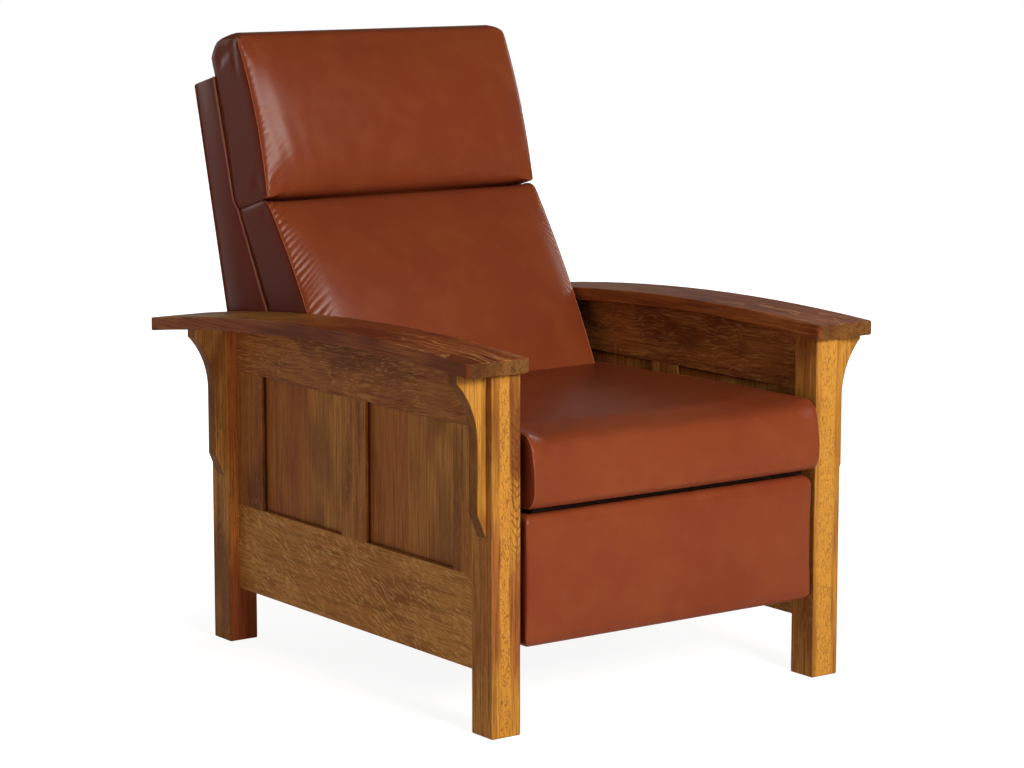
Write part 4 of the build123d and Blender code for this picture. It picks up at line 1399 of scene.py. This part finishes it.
@dataclass
class Studio:
    """Camera, lamps, floor and surroundings."""

    eye: Vector = field(default_factory=lambda: Vector((-3.1674, -4.4289, 1.349)))
    look: Vector = field(default_factory=lambda: Vector((0.5788, 0.8001, -0.1574)))
    aim: Vector = field(default_factory=lambda: Vector((0.0, 0.0, 0.6)))
    lens: float = 108.53
    sensor: float = 36.0
    lamps: tuple[Lamp, ...] = LAMPS
    floor_radius: float = 14.0
    floor_colour: Colour = (0.88, 0.88, 0.88)
    floor_white: float = 1.3
    shadow: Span = (0.5, 1.2)
    shadow_share: float = 0.3
    air: Colour = (1.0, 0.97, 0.93)
    ambient: float = 0.24
    overhead: float = 0.25
    dimming: Span = (0.1, 0.8)
    horizon: Span = (0.35, 0.05)
    mirrored: float = 0.3

    def camera(self) -> None:
        """Set the camera at the photograph's place."""
        data = bpy.data.cameras.new("camera")
        data.lens = self.lens
        data.sensor_width = self.sensor
        camera = placed("camera", data)
        camera.location = self.eye
        camera.rotation_euler = self.look.to_track_quat("-Z", "Y").to_euler()
        bpy.context.scene.camera = camera

    def white_rays(self, graph: Graph) -> Socket:
        """Find the rays that show the background: all when seen or let through, part when mirrored.

        Args:
            graph: The nodes to add to.

        Returns:
            How much of it a ray shows.
        """
        rays = graph.node("LightPath").outputs
        glossy = graph.product(rays["Is Glossy Ray"], self.mirrored)
        seen = graph.math("MAXIMUM", rays["Is Camera Ray"], glossy)
        return graph.math("MAXIMUM", seen, rays["Is Transmission Ray"])

    def floor(self) -> None:
        """Lay a pale floor that fades into the white surroundings and keeps the chair's shadow."""
        bpy.ops.object.select_all(action="DESELECT")
        bpy.ops.mesh.primitive_circle_add(vertices=96, radius=self.floor_radius, fill_type="NGON")
        piece = bpy.context.view_layer.objects.active
        piece.name = "floor"
        graph = Graph(bpy.data.materials.new("pale_floor"))
        ground = graph.node("BsdfDiffuse", {"Color": self.floor_colour}).outputs[0]
        white = graph.node("Emission", {"Color": WHITE, "Strength": self.floor_white}).outputs[0]
        distance = graph.node("VectorMath", {0: graph.place()}, operation="LENGTH").outputs["Value"]
        fade = graph.product(graph.step(distance, *self.shadow), self.shadow_share)
        share = graph.product(graph.math("ADD", fade, 1.0 - self.shadow_share), self.white_rays(graph))
        mix = graph.node("MixShader", {0: share, 1: ground, 2: white})
        dress(piece, graph.close("OutputMaterial", mix.outputs[0]))

    def surroundings(self) -> None:
        """Surround the chair with even light that shows as white behind it."""
        graph = Graph(bpy.data.worlds.new("surroundings"))
        height = graph.parts(graph.node("TexCoord").outputs["Generated"])[2]
        dimming = graph.product(graph.step(height, *self.dimming), 1.0 - self.overhead)
        strength = graph.product(graph.math("SUBTRACT", 1.0, dimming), self.ambient)
        soft = graph.node("Background", {"Color": self.air, "Strength": strength}).outputs[0]
        seen = graph.node("LightPath").outputs["Is Camera Ray"]
        strength = graph.math("MAXIMUM", seen, graph.step(height, *self.horizon))
        white = graph.node("Background", {"Color": WHITE, "Strength": strength}).outputs[0]
        mix = graph.node("MixShader", {0: self.white_rays(graph), 1: soft, 2: white})
        bpy.context.scene.world = graph.close("OutputWorld", mix.outputs[0])

    def build(self) -> None:
        """Set up the whole studio."""
        self.camera()
        for lamp in self.lamps:
            lamp.hang(self.aim)
            LOG.info("hung %s", lamp.name)
        self.floor()
        self.surroundings()
        bpy.context.scene.view_settings.view_transform = "Standard"


@dataclass(frozen=True)
class Board:
    """How the two twins of a wooden piece are cut, figured and stained."""

    kind: str
    grain: Grain
    stain: Stain
    figure: Figure
    front: Stain | None = None
    join: Join | None = None


# Front stains: painted light on legs and corbels, painted recess shade on stiles and mullion, end grain on
# the arms.
BOARDS = (
    Board("front_leg", Grain.UPRIGHT, STILE_STAIN, FAINT, FRONT_LIT_STAIN),
    Board("rear_leg", Grain.UPRIGHT, STILE_STAIN, FAINT, REAR_FRONT_LIT_STAIN),
    Board("front_corbel", Grain.UPRIGHT, CORBEL_SIDE_SHADE_STAIN, FAINT, CORBEL_LIT_STAIN),
    Board("rear_corbel", Grain.UPRIGHT, CORBEL_SIDE_SHADE_STAIN, FAINT, REAR_CORBEL_LIT_STAIN),
    Board("front_stile", Grain.UPRIGHT, STILE_STAIN, FAINT, RECESS_SHADE_STAIN),
    Board("mullion", Grain.UPRIGHT, STILE_STAIN, FAINT, RECESS_SHADE_STAIN),
    Board("rear_stile", Grain.UPRIGHT, TOP_STAIN, FAINT, RECESS_SHADE_STAIN),
    Board("front_panel", Grain.UPRIGHT, RED_PANEL_STAIN, FAINT, join=Join(-0.227, 0.004, PANEL_STAIN)),
    Board("rear_panel", Grain.UPRIGHT, RED_PANEL_STAIN, FAINT, join=Join(0.083, 0.05, PANEL_STAIN)),
    Board("bottom_rail", Grain.DEEP, RAIL_STAIN, FLECKED),
    Board("top_rail", Grain.DEEP, TOP_STAIN, LONG_RAYS),
    Board("arm", Grain.DEEP, ARM_STAIN, BROAD_RAYS, END_STAIN),
)


@dataclass
class Woodwork:
    """The oak of the two sides and the cross rails."""

    boards: tuple[Board, ...] = BOARDS
    cross: tuple[str, ...] = ("centre_stretcher", "rear_cross_rail")
    bands: dict[str, Band] = field(default_factory=lambda: {
        "front_leg_left": Band(-0.338, 12 * MM, Arches()), "front_leg_right": Band(0.344, 21 * MM)})
    fronts: dict[str, Stain] = field(default_factory=lambda: {"front_leg_right": FAR_FRONT_LIT_STAIN})
    reveal: float = 5 * MM
    tongue: float = 8 * MM
    seed_step: float = 1.37

    def build(self, nodes: Nodes) -> None:
        """Dress every oak piece in wood of its own.

        Args:
            nodes: The frame's nodes by name.
        """
        seed = 0.0
        for board in self.boards:
            for side in SIDES:
                seed += self.seed_step
                name = f"{board.kind}_{side}"
                dress_node(nodes[name], self.oak(board, name, seed).build())
                LOG.info("dressed %s", name)
        for name in self.cross:
            seed += self.seed_step
            dress_node(nodes[name], Oak(f"oak_{name}", Grain.ACROSS, TOP_STAIN, seed, FAINT).build())
            LOG.info("dressed %s", name)

    def oak(self, board: Board, name: str, seed: float) -> Oak:
        """Choose the wood of one piece.

        Args:
            board: How it and its twin are cut.
            name: The piece.
            seed: Where in the wood it is cut.

        Returns:
            Its wood.
        """
        front = self.fronts.get(name, board.front)
        reveal = None
        # The painted recess shade starts the reveal in from a stile's outer face.
        if front is RECESS_SHADE_STAIN:
            reveal = max(abs(corner[0]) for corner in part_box(name)) - self.reveal
        sunk = self.opening(name) if board.join is not None else None
        return Oak(f"oak_{name}", board.grain, board.stain, seed, board.figure, front, self.bands.get(name),
                   reveal, sunk, board.join)

    def opening(self, name: str) -> tuple[Vector, Vector]:
        """Find the corners of the opening that a panel fills.

        Args:
            name: The panel.

        Returns:
            Its low and its high corner.
        """
        low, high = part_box(name)
        inset = Vector((0.0, self.tongue, self.tongue))
        return Vector(low) + inset, Vector(high) - inset


@dataclass
class Mechanism:
    """The steel, plywood, cloth and webbing inside the chair."""

    black: tuple[str, ...] = ("slide_channels", "slide_bars", "seat_brackets", "seat_hinge_plates",
                              "footrest_pivot_plates", "back_hinge_plates", "footrest_arm_left",
                              "footrest_arm_right", "footrest_forelink_left", "footrest_forelink_right",
                              "footrest_cross_tube", "footrest_ears")
    plated: tuple[str, ...] = ("channel_screws", "back_hinge_pins", "footrest_pivot_pins", "knee_pins",
                               "footboard_pins")
    boards: tuple[str, ...] = ("seat_rail_left", "seat_rail_right", "seat_rear_rail", "back_board_left",
                               "back_board_right", "back_top_rail", "back_bottom_rail")
    covered: tuple[str, ...] = ("seat_deck", "seat_front_rail", "footrest_board")
    webbing: tuple[str, ...] = ("back_webbing",)

    def build(self, nodes: Nodes) -> None:
        """Dress the pieces that carry and move the seat.

        Args:
            nodes: The frame's nodes by name.
        """
        finishes = (
            (self.black, Steel("black_steel", clay(38, 38, 40), 0.0, 0.32)),
            (self.plated, Steel("plated_steel", clay(190, 190, 186), 1.0, 0.22)),
            (self.boards, Plain("raw_plywood", clay(186, 150, 104), clay(150, 112, 72), 180.0, 0.05)),
            (self.covered, Plain("black_cloth", clay(30, 14, 11), clay(18, 9, 8), 1400.0)),
            (self.webbing, Plain("webbing", clay(46, 42, 38), clay(24, 22, 20), 900.0)),
        )
        for names, finish in finishes:
            material = finish.build()
            for name in names:
                dress_node(nodes[name], material)
                LOG.info("dressed %s", name)


@dataclass
class Upholstery:
    """The leather cushions, the shell of the back and their seams."""

    seat_half: float = 303 * MM
    back_half: float = 297 * MM
    pad_half: float = 305 * MM
    lumbar_hidden: float = 440 * MM
    margin: float = 10 * MM
    nose_roll: Roll = Roll(-0.512, 0.488, 105 * MM, 110)
    lumbar_roll: Roll = Roll(0.288, 0.806, 45 * MM, 50)
    pillow_roll: Roll = Roll(0.288, 0.808, 62 * MM, 85)
    pillow_top_roll: Roll = Roll(0.392, 1.09, 30 * MM, 25)
    pillow_cap: float = 1.05
    pillow_cap_depth: float = 0.41
    lumbar_puckers: Puckers = Puckers(3.2 * MM, 14 * MM, 26 * MM, 0.5)
    under: float = -0.6
    rearward: float = 0.5
    lumbar_rearward: float = 0.3

    def cushions(self) -> tuple[Cushion, ...]:
        """Describe the four cushions.

        Returns:
            The seat, lumbar, pillow and footrest cushions.
        """
        deck_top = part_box("seat_deck")[1].z
        seat_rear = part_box("lumbar_cushion")[0].y
        pad_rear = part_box("footrest_pad")[1].y
        return (
            Cushion("seat_cushion", "seat", self.seat_half,
                    free=lambda normal: normal.z > self.under and normal.y < self.rearward,
                    hold=lambda place: max(
                        1.0 - rise(place.z, deck_top + self.margin, deck_top + self.margin * 2),
                        rise(place.y, seat_rear - self.margin * 2, seat_rear - self.margin)),
                    rolls=(self.nose_roll,), top=0.498, top_round=14 * MM, soft_top=True),
            Cushion("lumbar_cushion", "back", self.back_half,
                    free=lambda normal: normal.y < self.lumbar_rearward,
                    hold=lambda place: 1.0 - rise(place.z, self.lumbar_hidden,
                                                  self.lumbar_hidden + self.margin),
                    rolls=(self.lumbar_roll,), puckers=self.lumbar_puckers, top=0.808, top_round=9 * MM,
                    puff=8 * MM),
            Cushion("head_pillow", "back", self.back_half,
                    free=lambda normal: normal.y < self.rearward,
                    hold=lambda place: rise(place.z, self.pillow_cap, self.pillow_cap + self.margin * 3)
                    * rise(place.y, self.pillow_cap_depth - self.margin,
                           self.pillow_cap_depth + self.margin),
                    rolls=(self.pillow_roll, self.pillow_top_roll), hem=Hem(), puff=7 * MM, top=1.1,
                    top_round=30 * MM),
            Cushion("footrest_pad", "footboard", self.pad_half,
                    free=lambda normal: normal.y < self.rearward,
                    hold=lambda place: rise(place.y, pad_rear - self.margin, pad_rear - self.margin / 2),
                    puckers=None, voxel=5 * MM, draw_in=3 * MM, swell_out=1 * MM, swell_in=2 * MM,
                    pressure=2.0, groove=0.0, edge_repeats=6, seamed=False, fill=0.7),
        )

    def build(self, nodes: Nodes) -> None:
        """Model the leather pieces.

        Args:
            nodes: The frame's nodes by name.
        """
        leather = Leather("leather").build()
        # Seam beads: paler than the cover, a painted highlight along them, with painted shade on their
        # sideways faces.
        bead = Leather("seam_leather", clay(160, 84, 50), clay(142, 68, 40), clay(174, 98, 60), 0.34,
                       clay(84, 34, 20)).build()
        # Shell welts: pale pinkish, a painted highlight, paler still on their sideways faces.
        pale = Leather("welt_leather", clay(140, 82, 62), clay(126, 68, 50), clay(154, 96, 76), 0.28,
                       clay(150, 92, 74)).build()
        for cushion in self.cushions():
            for piece in cushion.build(nodes, leather, bead):
                LOG.info("built %s with %d faces", piece.name, len(piece.data.polygons))
        for piece in Shell().build(nodes, leather, pale):
            LOG.info("built %s with %d faces", piece.name, len(piece.data.polygons))


def main() -> None:
    """Build the looks of the chair around its frame."""
    logging.basicConfig(level=logging.INFO, format="%(name)s: %(message)s")
    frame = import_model()
    nodes = frame["nodes"]
    Studio().build()
    Woodwork().build(nodes)
    Mechanism().build(nodes)
    Upholstery().build(nodes)
    bpy.context.view_layer.update()


if __name__ == "__main__":
    main()
